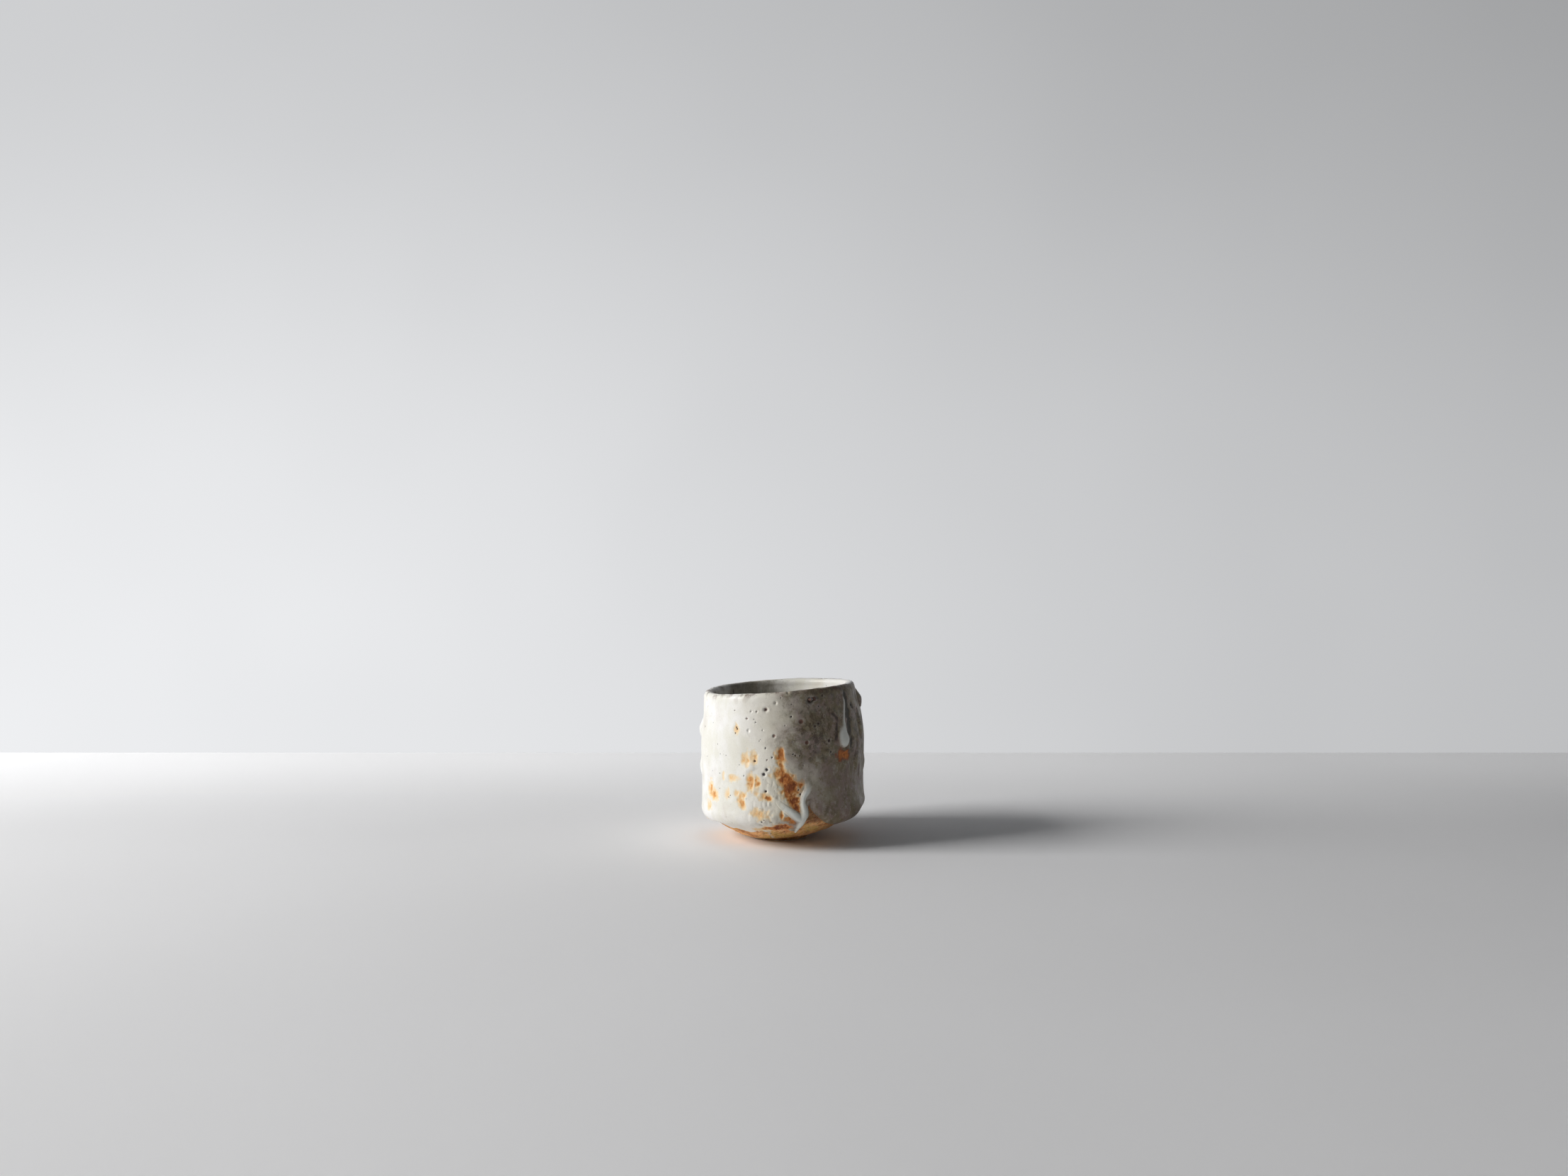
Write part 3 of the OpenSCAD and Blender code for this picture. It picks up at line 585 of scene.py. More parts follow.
def coat_edge(form, th):
    """Station of the coat's ragged lower edge: waves of three lengths, a rise on the
    far left, finer noise, and the notch that bares the clay, a squared cosine on its
    left side and a squared straight line on its right."""
    ring = np.stack([np.cos(th), np.sin(th), 0 * th], axis=-1)
    half = form.notch_width / (form.width - 2 * form.coat)
    off = apart(th, NOTCH_AT)
    left = np.cos(np.pi / 2 * np.minimum(1, np.abs(off) / half))
    right = np.maximum(0, 1 - np.abs(off) / (half * NOTCH_TAIL))
    notch = np.where(off < 0, left, right) ** 2
    waves = 0.15 * (np.sin(7 * th) + np.sin(11 * th + radians(40)) + np.sin(19 * th))
    waves += EDGE_RISE * near(th, EDGE_RISE_AT, 24, 34)
    fine = 0.10 * noise(ring, 0.07, 11) + 0.06 * noise(ring, 0.025, 12)
    return EDGE + NOTCH_STATIONS * notch + waves + fine


def patches(rows, th, points, ragged, seed):
    """Strength of soft-edged elliptical patches: the greatest of their strengths
    times a smooth step of the distance from the middle, with the places shaken by
    noise so that the edges are ragged."""
    shake = ragged * (noise(points, 1.6 * MM, seed) + 0.6 * noise(points, 0.7 * MM, seed + 1))
    total = np.zeros(np.shape(th))
    radius = np.hypot(points[..., 0], points[..., 1])
    for angle, height, half_w, half_h, strength in rows:
        across = (apart(th, radians(angle)) * radius) / (half_w * MM)
        up = (points[..., 2] - height * MM) / (half_h * MM)
        d = np.hypot(across, up) + shake
        total = np.maximum(total, strength * (1 - ease(d, 0.25, 1.6)))
    return total


def slow_relief(at):
    """Slow unevenness of a coat: noise of two sizes, sunk by half of the larger."""
    return 0.20 * MM * (noise(at, 13 * MM, 1) - 0.5) + 0.09 * MM * noise(at, 5.5 * MM, 2)


def fine_relief(at):
    """Orange peel of a coat: noise of two small sizes."""
    return 0.028 * MM * noise(at, 1.9 * MM, 3) + 0.012 * MM * noise(at, 0.9 * MM, 4)


def glaze_surface(curve, q, whole=False):
    """Outer surface of the coat at station q of each column, with its stains.

    The clay's outline, plus the coat's thickness square to it, which rises from the
    edge as a quarter circle and wears thin on the lip, plus the relief: slow
    unevenness and orange peel from noise, three swellings, upright drips on the far
    right, crawled lumps low down, fire patches sunk and roughened, pits, each a
    bell-shaped hollow in a low rim, a sunk rusty streak, and a worn lip. The stains
    are the strengths of fire, gap, rust and starved ground; below 0, the last one
    whitens. Gap is painted shade, laid in the hollows between the drips, in the
    streak's groove and round the stone. Starved ground is partly painted shade: in
    the hollows between crawled lumps and below the lip on the right, the side away
    from the light. With whole, the coat goes on over the bare clay and has only the
    slow relief and the swellings, as runs have under them.
    """
    form, th = curve.form, curve.th
    p, out = curve.at(q), curve.normal(q)
    beyond = curve.arc_of(q) - curve.arc_of(coat_edge(form, th))
    roll = np.ones(np.shape(q)) if whole else np.clip(beyond / form.edge_roll, 0, 1)
    coat = form.coat * np.sqrt(np.maximum(0, 1 - (1 - roll) ** 2))
    coat = coat * (1 - (1 - LIP_COAT) * ease(q, WALL_END - 0.6, CREST))
    angle = np.broadcast_to(th, np.shape(q))
    at = curve.turned(p + coat[..., None] * out)
    z = at[..., 2]
    relief = slow_relief(at) + MM * patches(FLANK_SWELL, angle, at, 0, 42)
    relief += MM * patches(CORNER_SWELL, angle, at, 0, 42) * roll
    relief += MM * patches(FRONT_SWELL, angle, at, 0.2, 43)
    if whole:
        return curve.turned(p + (coat + relief)[..., None] * out), None
    settled = ease(beyond, 0, 4 * MM)
    fire = patches(FIRE, angle, at, 0.45, 21) * ease(roll, 0.2, 0.9)
    starved_and_shaded = patches(STARVED, angle, at, 0.5, 31)
    gap = patches(SHADED_HOLLOWS, angle, at, 0.35, 51) * settled
    relief += fine_relief(at)
    ridged = ease(apart(angle, DRIPS_FROM), 0, radians(18))
    ridged = ridged * ease(apart(DRIPS_TO, angle), 0, radians(40))
    ridged = ridged * settled * ease(form.height - z, 0, 5 * MM)
    wander = at + 0.8 * MM * noise(at, 8 * MM, 5)[..., None]
    drips = np.abs(noise(wander / np.array([1, 1, 6]), 2.3 * MM, 6))
    ridged = ridged * ease(noise(at, 9 * MM, 17), -0.5, 0.3)
    relief += ridged * MM * (DRIP_RISE * ease(drips, 0.05, 0.6) - DRIP_SINK)
    relief -= GAP_SINK * np.clip(gap, 0, 1)
    # Painted shade: the gap stain darkens the valleys between the drips.
    gap = np.maximum(gap, 0.6 * ridged * (1 - ease(drips, 0.02, 0.16)))
    crawl = patches(CRAWLED, angle, at, 0.2, 41)
    bent = at / np.array([1, 1, 1.6]) + 0.5 * MM * noise(at, 2 * MM, 16)[..., None]
    lumps = noise(bent, 1.15 * MM, 7)
    relief += CRAWL_RISE * crawl * roll * np.clip(lumps + 0.3, -1, 0.5)
    # Painted shade: olive in the hollows between the crawled lumps.
    starved_and_shaded = np.maximum(starved_and_shaded, 0.40 * crawl * ease(-lumps, 0.25, 0.65) * roll)
    rough = np.clip(fire + 0.4 * starved_and_shaded, 0, 1)
    relief -= FIRE_SINK * np.clip(fire, 0, 1) * settled
    grit = noise(at / np.array([1, 1, 1.7]), 0.8 * MM, 8) + 0.5 * noise(at, 0.45 * MM, 9)
    relief += GRIT * rough * roll * grit
    radius = np.hypot(at[..., 0], at[..., 1])
    for turn, height, size, depth in PITS[:, :4]:
        d = np.hypot(apart(angle, radians(turn)) * radius, z - height * MM) / (size * MM)
        relief -= depth * MM * np.exp(-d * d)
        relief += PIT_RIM * depth * MM * np.exp(-((d - PIT_RIM_AT) / PIT_RIM_WIDTH) ** 2)
    turn = STREAK_AT - STREAK_FOOT * ease(47 * MM - z, 0, 5 * MM)
    turn = turn - STREAK_HEAD * ease(z, 49.0 * MM, 51.2 * MM)
    streak = np.exp(-(apart(angle, turn) * radius / STREAK_WIDTH + 0.6 * noise(at, 1.6 * MM, 14)) ** 2)
    streak *= ease(z, 39 * MM, 42 * MM) * (1 - ease(z, 50.6 * MM, 51.6 * MM))
    relief -= STREAK_SINK * streak
    # Painted shade: the streak's groove also takes the gap's dark.
    gap = np.maximum(gap, 0.80 * streak)
    lip = ease(q, WALL_END - 1.4, CREST - 0.5)
    relief += 0.10 * MM * lip * noise(at, 2.2 * MM, 18) - LIP_WEAR * ease(q, CREST - 1.2, CREST)
    worn = ease(noise(at, 2.6 * MM, 15), -0.1, 0.6)
    worn = worn * (0.25 + 0.75 * ease(np.abs(angle), radians(125), radians(160)))
    starved_and_shaded = np.maximum(starved_and_shaded, 0.75 * lip * worn)
    rust = lip * ease(noise(at, 1.7 * MM, 19), 0.25, 0.55)
    rust = np.maximum(0.60 * streak, 0.8 * rust * ease(np.abs(angle), radians(100), radians(125)))
    # Painted shade: below the crest on the right, away from the light, the lip is darkened as starved ground;
    # the crest's white is kept clear of it.
    right = near(angle, LIP_SHADE_AT, 48, 62)
    shade_below_lip = ease(q, WALL_END - 1.0, WALL_END) * ease(worn, -0.8, 0.2)
    starved_and_shaded = np.maximum(starved_and_shaded, 0.85 * right * shade_below_lip)
    turned = ease(np.abs(apart(angle, LIP_WHITE_AT)), radians(12), radians(40))
    wrap = lerp(WALL_END + 1.2, CREST - 0.3, turned)
    starved_and_shaded = lerp(starved_and_shaded, -1.0, right * ease(q, wrap - 0.15, wrap + 0.15))
    at = curve.turned(p + (coat + relief)[..., None] * out)
    stain = np.stack([np.clip(fire, 0, 1.2), np.clip(gap, 0, 1.2), rust, starved_and_shaded], axis=-1)
    return at, stain


def skin_point(form, th, z, whole=False):
    """Point of the glazed surface at any angle and height, and its outward direction.
    With whole, the coat goes on over the bare clay."""
    curve = Outline(form, th)
    q = curve.station_at_height(z)
    at, _ = glaze_surface(curve, q, whole)
    return at, curve.turned(curve.normal(q))


def skin_grid(form, th, z):
    """Points of the glazed surface on a grid of angles and heights, their outward
    directions, and the points that the whole coat would have there."""
    point, out = skin_point(form, th.ravel(), z.ravel())
    full, _ = skin_point(form, th.ravel(), z.ravel(), whole=True)
    return (a.reshape(*th.shape, 3) for a in (point, out, full))


def columns(count, crowd):
    """Angles of the columns round the cup, crowded on the front by a sine."""
    a = np.linspace(0, WRAP, count, endpoint=False)
    return a - crowd * np.sin(a - FRONT)


def pit_places(form):
    """The pits as [point on the surface, half width, black, rusty], for the shader."""
    point, _ = skin_point(form, np.radians(PITS[:, 0]), PITS[:, 1] * MM)
    return [(p.tolist(), row[2] * MM, row[4], row[5]) for p, row in zip(point, PITS)]


def put(name, data):
    """A new object with the given data, linked to the scene at the origin."""
    piece = bpy.data.objects.new(name, data)
    bpy.context.scene.collection.objects.link(piece)
    return piece


def closed_mesh(name, rings, low=None, high=None, stain=None):
    """A closed mesh from a grid of points, rings by columns: a quad between each two
    neighbours, the columns joined into a loop, and at the ends either a fan to the
    poles low and high, or the last ring joined to the first. The faces are turned
    about if the volume that they enclose comes out negative. Shading is smooth but
    for edges of more than 60 degrees, where shown rings turn into hidden ones. With
    stain, each point of the rings carries its four strengths."""
    m, n = rings.shape[:2]
    i = np.arange(n)
    k = (i + 1) % n
    a = np.arange(m if low is None else m - 1)[:, None] * n
    b = (a + n) % (m * n)
    quads = np.stack(np.broadcast_arrays(a + i, a + k, b + k, b + i), axis=-1).reshape(-1, 4)
    points = rings.reshape(-1, 3)
    fans = np.empty((0, 3), int)
    if low is not None:
        points = np.concatenate([points, [low, high]])
        last = (m - 1) * n
        fans = np.concatenate([
            np.stack([k, i, np.full(n, m * n)], axis=-1),
            np.stack([last + i, last + k, np.full(n, m * n + 1)], axis=-1)])
    tris = np.concatenate([quads[:, [0, 1, 2]], quads[:, [0, 2, 3]], fans])
    corner = points[tris]
    volume = np.einsum("ij,ij->i", corner[:, 0], np.cross(corner[:, 1], corner[:, 2])).sum()
    if volume < 0:
        quads, fans = quads[:, ::-1], fans[:, ::-1]
    mesh = bpy.data.meshes.new(name)
    mesh.from_pydata(points.tolist(), [], quads.tolist() + fans.tolist())
    mesh.shade_smooth()
    mesh.set_sharp_from_angle(angle=SHARP)
    if stain is not None:
        rows = stain.reshape(-1, 4)
        rows = np.concatenate([rows, np.zeros((len(points) - len(rows), 4))]).astype(np.float32)
        layer = mesh.attributes.new("stain", "FLOAT_COLOR", "POINT")
        layer.data.foreach_set("color", rows.ravel())
    if mesh.validate():
        raise RuntimeError(f"{name}: the mesh had bad faces")
    return put(name, mesh)


def finish_piece(piece, slot, material, *nodes):
    """Gives a piece its material, rides it on the body and stands it for its nodes."""
    piece.data.materials.append(material)
    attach(piece, "root")
    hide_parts(*nodes)


def smooth_path(rows, share):
    """Rows at the given shares of a smooth curve through the given rows: each column
    through cubic Hermite pieces with the mean slope of the neighbouring chords."""
    slope = np.gradient(rows, axis=0)
    q = share * (len(rows) - 1)
    j = np.minimum(q.astype(int), len(rows) - 2)
    t = (q - j)[:, None]
    return hermite(t, rows[j], rows[j + 1], slope[j], slope[j + 1])


def with_tip(form, path, width):
    """The path and one more row, half a width past its end, where the run ends."""
    last = path[-1]
    scale = np.array([radians(1) * form.width / 2, form.height])
    step = (last - path[-2])[:2] * scale
    step *= width / 2 * last[2] / np.linalg.norm(step)
    return np.vstack([path, [*(last[:2] + step / scale), last[2], last[3]]])


def run_rings(form, path, width, rise, profile, grid, top, neck, tip=None, blunt=1.0):
    """Cross-sections of a run of glaze along a path of [angle, share of the height,
    share of the width, share of the rise], and how thick each point is.

    Each lies square to the path on the unrolled wall, and they crowd towards the end.
    Its middle stands at the rise above the whole coat and its edges lie on the glazed
    or bare surface, with the profile between, and the same points sunk below the
    surface close it. The rise eases in from the top and rounds off over the share tip
    at the end, to the power 1 / blunt. The width starts at a share neck of itself."""
    count, across = grid
    path = with_tip(form, path, width)
    tip = tip or 1 / (len(path) - 1)
    share = 1 - np.linspace(1, 0, count) ** END_CROWD
    row = smooth_path(path, share)
    end = np.sqrt(1 - (1 - np.clip((1 - share) / tip, 0, 1)) ** 2)
    wide = lerp(neck, 1, ease(share, 0, top)) * (END_WIDTH + (1 - END_WIDTH) * end)
    high = ease(share, 0, top) * end ** (1 / blunt)
    th, z = np.radians(row[:, 0]), row[:, 1] * form.height
    radius = form.width / 2
    along = np.stack([np.gradient(th) * radius, np.gradient(z)], axis=-1)
    along /= np.linalg.norm(along, axis=-1, keepdims=True)
    t = np.sin(np.linspace(-np.pi / 2, np.pi / 2, across))
    half = (width / 2 * row[:, 2] * wide)[:, None] * t
    th = th[:, None] + half * along[:, 1:] / radius
    z = z[:, None] - half * along[:, :1]
    point, out, full = skin_grid(form, th, z)
    thick = high[:, None] * profile(t, share[:, None])
    crest = full + out * (rise * row[:, 3])[:, None, None]
    sunk = lerp(SKIRT_SINK, CREST_SINK, ease(thick, 0, 0.35))
    shown = lerp(point, crest, thick[..., None]) - out * sunk[..., None]
    rings = np.concatenate([shown, (point - out * BACK_SINK)[:, -2:0:-1]], axis=1)
    return rings, np.pad(thick, ((0, 0), (0, across - 2)))


def run_piece(name, rings, thick):
    """A closed run from its cross-sections, with a pole at the middle of each end."""
    stain = np.zeros((*thick.shape, 4))
    stain[..., 1] = thick
    return closed_mesh(name, rings, rings[0].mean(axis=0), rings[-1].mean(axis=0), stain)


def round_profile(t, share):
    """Soft bead: a power of 1 - t squared that meets the coat at a low slope."""
    return np.clip(1 - t * t, 0, 1) ** PROFILE_POWER + 0 * share


def leaning_profile(t, share):
    """Bead whose crest stands near its right edge: a slow S on the left of the crest
    and a quarter circle on its right. Towards the end it turns into a round one."""
    crest = -0.55
    slow = ease(1 - t, 0, 1 - crest)
    steep = np.sqrt(np.clip(1 - ((crest - t) / (1 + crest)) ** 2, 0, 1))
    full = np.clip(1 - np.abs(t) ** 3, 0, 1) ** 0.8
    return lerp(np.where(t > crest, slow, steep), full, ease(share, 0.40, 0.75))


class Shader:
    """Adds nodes to a material and joins their sockets."""

    def __init__(self, name):
        self.material = bpy.data.materials.new(name)
        self.material.use_nodes = True
        self.tree = self.material.node_tree
        self.surface = self.tree.nodes["Principled BSDF"]
        self.place = self.add("ShaderNodeTexCoord").outputs["Object"]

    def add(self, kind, inputs=None, **settings):
        """A node of a kind, with settings and with inputs by name or number: a value,
        or another node's socket to join to."""
        node = self.tree.nodes.new(kind)
        for key, value in settings.items():
            setattr(node, key, value)
        for key, value in (inputs or {}).items():
            self.set(node.inputs[key], value)
        return node

    def set(self, socket, value):
        """Joins a socket to another, or sets its value."""
        if isinstance(value, bpy.types.NodeSocket):
            self.tree.links.new(value, socket)
        else:
            socket.default_value = value

    def math(self, operation, a, b=0.0, clamp=False):
        """One sum, product or the like of two values."""
        return self.add("ShaderNodeMath", {0: a, 1: b}, operation=operation, use_clamp=clamp).outputs[0]

    def times(self, a, b):
        """Product of two values."""
        return self.math("MULTIPLY", a, b)

    def ramp(self, value, low, high, start=0.0, end=1.0):
        """Smooth step of a value between low and high, to start and end."""
        return self.add("ShaderNodeMapRange", {"Value": value, "From Min": low, "From Max": high,
                                               "To Min": start, "To Max": end},
                        interpolation_type="SMOOTHSTEP").outputs["Result"]

    def mix(self, factor, a, b):
        """Blend of two colours."""
        node = self.add("ShaderNodeMix", {"Factor": factor, 6: a, 7: b}, data_type="RGBA")
        return node.outputs[2]

    def shifted(self, shift, stretch=1.0):
        """The place on the piece, shifted and drawn out upright by stretch."""
        return self.add("ShaderNodeMapping", {"Vector": self.place, "Location": (shift,) * 3,
                                              "Scale": (1, 1, 1 / stretch)}).outputs[0]

    def noise(self, size, detail=3.0, rough=0.55, stretch=1.0, shift=0.0):
        """Noise whose largest features are about size metres."""
        return self.add("ShaderNodeTexNoise", {"Vector": self.shifted(shift, stretch), "Scale": 1 / size,
                                               "Detail": detail, "Roughness": rough}).outputs["Fac"]

    def sway(self, value, amount):
        """A noise turned into a push to both sides: amount times its distance from 0.5."""
        return self.times(self.math("SUBTRACT", value, 0.5), amount)

    def drift(self, body, tint, size, low, high, share=1.0, within=None, **kind):
        """Body blended to a tint by up to share, where noise of a size and kind rises
        from low to high, and only within a mask where one is given."""
        factor = self.ramp(self.noise(size, **kind), low, high, 0, share)
        if within is not None:
            factor = self.times(within, factor)
        return self.mix(factor, body, tint)

    def stains(self):
        """The four stains of the mesh: red, green, blue and alpha."""
        stain = self.add("ShaderNodeAttribute", attribute_name="stain", attribute_type="GEOMETRY").outputs
        part = self.add("ShaderNodeSeparateColor", {"Color": stain["Color"]}).outputs
        return part["Red"], part["Green"], part["Blue"], stain["Alpha"]

    def specks(self, size, reach, shift):
        """Round specks at random places, one to a cell of the given size, each as
        wide as its own random share of reach."""
        cells = self.add("ShaderNodeTexVoronoi", {"Vector": self.shifted(shift), "Scale": 1 / size})
        lot = self.add("ShaderNodeSeparateColor", {"Color": cells.outputs["Color"]}).outputs["Red"]
        wide = self.times(self.math("POWER", lot, 3.0), reach)
        gap = self.math("SUBTRACT", wide, cells.outputs["Distance"])
        return self.ramp(gap, -0.02, 0.03)

    def vector(self, operation, inputs):
        """One sum, distance or the like of vectors."""
        return self.add("ShaderNodeVectorMath", inputs, operation=operation)

    def nearness(self, pits, shake):
        """How near to the middle of a pit a place is, when shaken by noise: 1 - distance
        / half width of the nearest one, of all pits, of the black ones and of the rusty
        ones. A less black or less rusty pit counts as further off."""
        warp = self.add("ShaderNodeTexNoise",
                        {"Vector": self.place, "Scale": 1 / (0.8 * MM), "Detail": 1.0}).outputs["Color"]
        warp = self.vector("SUBTRACT", {0: warp, 1: (0.5, 0.5, 0.5)}).outputs[0]
        warp = self.vector("SCALE", {0: warp, "Scale": 3 * shake}).outputs[0]
        place = self.vector("ADD", {0: self.place, 1: warp}).outputs[0]
        nearest, blackest, rustiest = -9.0, -9.0, -9.0
        for point, half, black, rusty in pits:
            gap = self.vector("DISTANCE", {0: place, 1: tuple(point)}).outputs["Value"]
            one = self.add("ShaderNodeMath", {0: gap, 1: -1 / half, 2: 1.0},
                           operation="MULTIPLY_ADD").outputs[0]
            nearest = self.math("MAXIMUM", one, nearest)
            if black:
                blackest = self.math("MAXIMUM", self.math("SUBTRACT", one, 0.7 * (1 - black)), blackest)
            if rusty:
                rustiest = self.math("MAXIMUM", self.math("SUBTRACT", one, 0.7 * (1 - rusty)), rustiest)
        return nearest, blackest, rustiest

    def bump(self, height, distance, strength=1.0):
        """Bump from a height."""
        return self.add("ShaderNodeBump", {"Height": height, "Distance": distance,
                                           "Strength": strength}).outputs["Normal"]

    def finish(self, colour, roughness, normal, **constants):
        """Sets the surface: colour, roughness and bump, and constant sockets."""
        self.set(self.surface.inputs["Base Color"], colour)
        self.set(self.surface.inputs["Roughness"], roughness)
        self.set(self.surface.inputs["Normal"], normal)
        for key, value in constants.items():
            self.surface.inputs[key.replace("_", " ")].default_value = value
        return self.material


def run_material(name, tone):
    """Glaze of a run: as the coat round it where it is thin, whiter where it is thick."""
    return glaze_material(name, tone, specks=0.5, run=True)


def glaze_material(name, tone, stained=False, specks=1.0, thin_and_shaded=1.0, pits=None, run=False, ragged=1.0):
    """Milky white glaze: white drifting to greenish and mauve grey, creamy but for the
    -X side, and greyer, with olive, mauve, moss, plum and umber clouds, where it thins
    out on the +X side, later so at the belly. That greyer side is partly painted shade:
    the +X side faces away from the light. Iron specks lie in it. Where a run is thick,
    it stays white, and on the long run's crest that white is a painted highlight. A
    stained one has the stains of its mesh, and pits are [point, half width, black, rusty]."""
    s = Shader(name)
    stains = s.stains()
    body = s.drift(tone.white, tone.cool, 15 * MM, 0.40, 0.64, 0.5)
    body = s.drift(body, tone.mauve, 10 * MM, 0.50, 0.72, 0.35, detail=4.0, shift=3.1)
    body = s.drift(body, tone.white, 3.2 * MM, 0.46, 0.66, 0.4, detail=4.0, stretch=1.8, shift=1.7)
    side, _, up = s.add("ShaderNodeSeparateXYZ", {0: s.place}).outputs
    body = s.mix(s.ramp(side, -24 * MM, -2 * MM, 0, 0.15 + 0.45 * thin_and_shaded), body, tone.cream)
    stray = s.sway(s.noise(9 * MM, 4.0, shift=4.4), 22 * MM)
    belly = s.times(s.ramp(up, 12 * MM, 19 * MM), s.ramp(up, 29 * MM, 40 * MM, 7 * MM, 0))
    # Painted shade: the +X side, away from the light, turns grey; the glaze there is also thinner.
    thinned_and_shaded = s.ramp(s.math("SUBTRACT", s.math("ADD", side, stray), belly), -8 * MM, 13 * MM, 0, thin_and_shaded)
    if run:
        # On the long run, this stain also carries a painted highlight along its crest.
        thick = stains[1]
        thinned_and_shaded = s.times(thinned_and_shaded, s.ramp(thick, 0.15, 1.0, 1.0, 0.1))
        body = s.mix(s.ramp(thick, 0.2, 0.9, 0, 0.9), body, tone.milk)
    grey = s.drift(tone.thin_and_shaded, tone.thin_and_shaded_mauve, 6 * MM, 0.42, 0.60, detail=4.0, shift=6.1)
    grey = s.drift(grey, tone.cool, 2.2 * MM, 0.52, 0.70, 0.35,
                   detail=4.0, rough=0.6, stretch=1.5, shift=9.2)
    body = s.mix(thinned_and_shaded, body, grey)
    body = s.drift(body, tone.olive, 2.8 * MM, 0.50, 0.62, 0.75, thinned_and_shaded, detail=5.0, rough=0.7, shift=7.1)
    body = s.drift(body, tone.mauve, 1.9 * MM, 0.56, 0.68, 0.28, thinned_and_shaded, detail=4.0, rough=0.6, shift=8.4)
    clouds = s.times(s.math("POWER", thinned_and_shaded, 2.0), s.ramp(up, 24 * MM, 42 * MM, 0.25, 1.0))
    for tint, size, shift, low, share in (
            (tone.moss, 2.8, 12.7, 0.50, 0.55), (tone.plum, 2.3, 13.9, 0.53, 0.60),
            (tone.umber, 3.4, 11.2, 0.49, 0.75)):
        body = s.drift(body, tint, size * MM, low, low + 0.13, share, clouds,
                       detail=6.0, rough=0.75, shift=shift)
    body = s.drift(body, tone.olive, 0.6 * MM, 0.52, 0.74, 0.16, detail=4.0, rough=0.75, shift=5.3)
    rough = s.ramp(s.noise(4 * MM, 2.0), 0.3, 0.7, 0.34, 0.48)
    height = s.times(s.noise(0.55 * MM, 2.0), 0.16)
    if stained:
        body, rough, height = stain_glaze(s, tone, stains, thinned_and_shaded, ragged, body, rough, height)
    if pits is not None:
        body, height = pit_glaze(s, tone, pits, body, height)
    body = s.mix(s.times(s.specks(2.6 * MM, 0.12 * specks, 0.013), 0.55), body, tone.iron)
    return s.finish(body, rough, s.bump(height, 0.22 * MM, 0.8), IOR=1.5, Specular_IOR_Level=0.25,
                    Coat_Weight=0.08, Coat_Roughness=0.15)


def stain_glaze(s, tone, stains, thinned_and_shaded, ragged, body, rough, height):
    """Colour, roughness and height of a glaze with its stains, shaken by noise so that
    their edges are ragged. Starved ground is olive, and umber where the glaze has
    thinned; below 0 it is whitened instead. Starved ground and the thinned side are
    both partly painted shade. A fire patch has a pale rim, or a red-brown one on
    thinned glaze, then orange, then red-brown with light beads. It is rougher and
    sunk. Rust and gap follow; gap is painted shade in hollows."""
    fire, gap, rust, starved_and_shaded = stains
    grain = s.noise(1.5 * MM, 4.0, 0.62, stretch=1.9, shift=7.7)
    fine = s.noise(0.55 * MM, 3.0, 0.6, stretch=1.6, shift=8.8)
    shake = s.math("ADD", s.sway(grain, 1.5 * ragged), s.sway(fine, 0.9 * ragged))
    body = s.mix(s.ramp(starved_and_shaded, -0.1, -0.9, 0, 0.9), body, tone.white)
    lean = s.math("ADD", starved_and_shaded, shake)
    body = s.mix(s.ramp(lean, 0.20, 0.95, 0, 0.8), body, tone.olive)
    body = s.mix(s.times(thinned_and_shaded, s.ramp(lean, 0.50, 1.10, 0, 0.80)), body, tone.umber)
    heat = s.math("ADD", fire, s.times(shake, 0.50))
    rim = s.times(s.ramp(heat, -0.06, 0.32, 0, 0.8), s.ramp(fire, 0.005, 0.12))
    body = s.mix(rim, body, s.mix(thinned_and_shaded, tone.pale_fire, tone.deep_fire))
    hot = s.mix(s.ramp(heat, 0.45, 0.95), s.mix(thinned_and_shaded, tone.mild_fire, tone.fire), tone.fire)
    hot = s.mix(s.ramp(heat, 0.80, 1.20, 0, 0.95), hot, tone.deep_fire)
    middle = s.ramp(fire, 0.4, 0.9)
    hot = s.drift(hot, tone.deep_fire, 0.9 * MM, 0.44, 0.64, 0.55, middle,
                  detail=5.0, rough=0.75, stretch=2.2, shift=4.9)
    hot = s.drift(hot, tone.bright_fire, 0.7 * MM, 0.50, 0.66, 0.6, middle,
                  detail=4.0, rough=0.7, stretch=2.0, shift=2.9)
    burnt = s.times(s.ramp(heat, 0.18, 0.78), s.ramp(fire, 0.04, 0.25))
    body = s.mix(burnt, body, hot)
    body = s.mix(s.times(rust, s.ramp(fine, 0.3, 0.5)), body, tone.rust)
    # Painted shade: gap lays the dark of the hollows.
    hollow = s.math("ADD", gap, s.times(shake, 0.4))
    body = s.mix(s.ramp(hollow, 0.15, 0.95, 0, 0.9), body, tone.gap)
    rough = s.math("ADD", rough, s.times(burnt, 0.22), clamp=True)
    height = s.math("SUBTRACT", height, s.times(burnt, 0.30))
    height = s.math("ADD", height, s.times(s.times(shake, burnt), 0.30))
    return body, rough, height


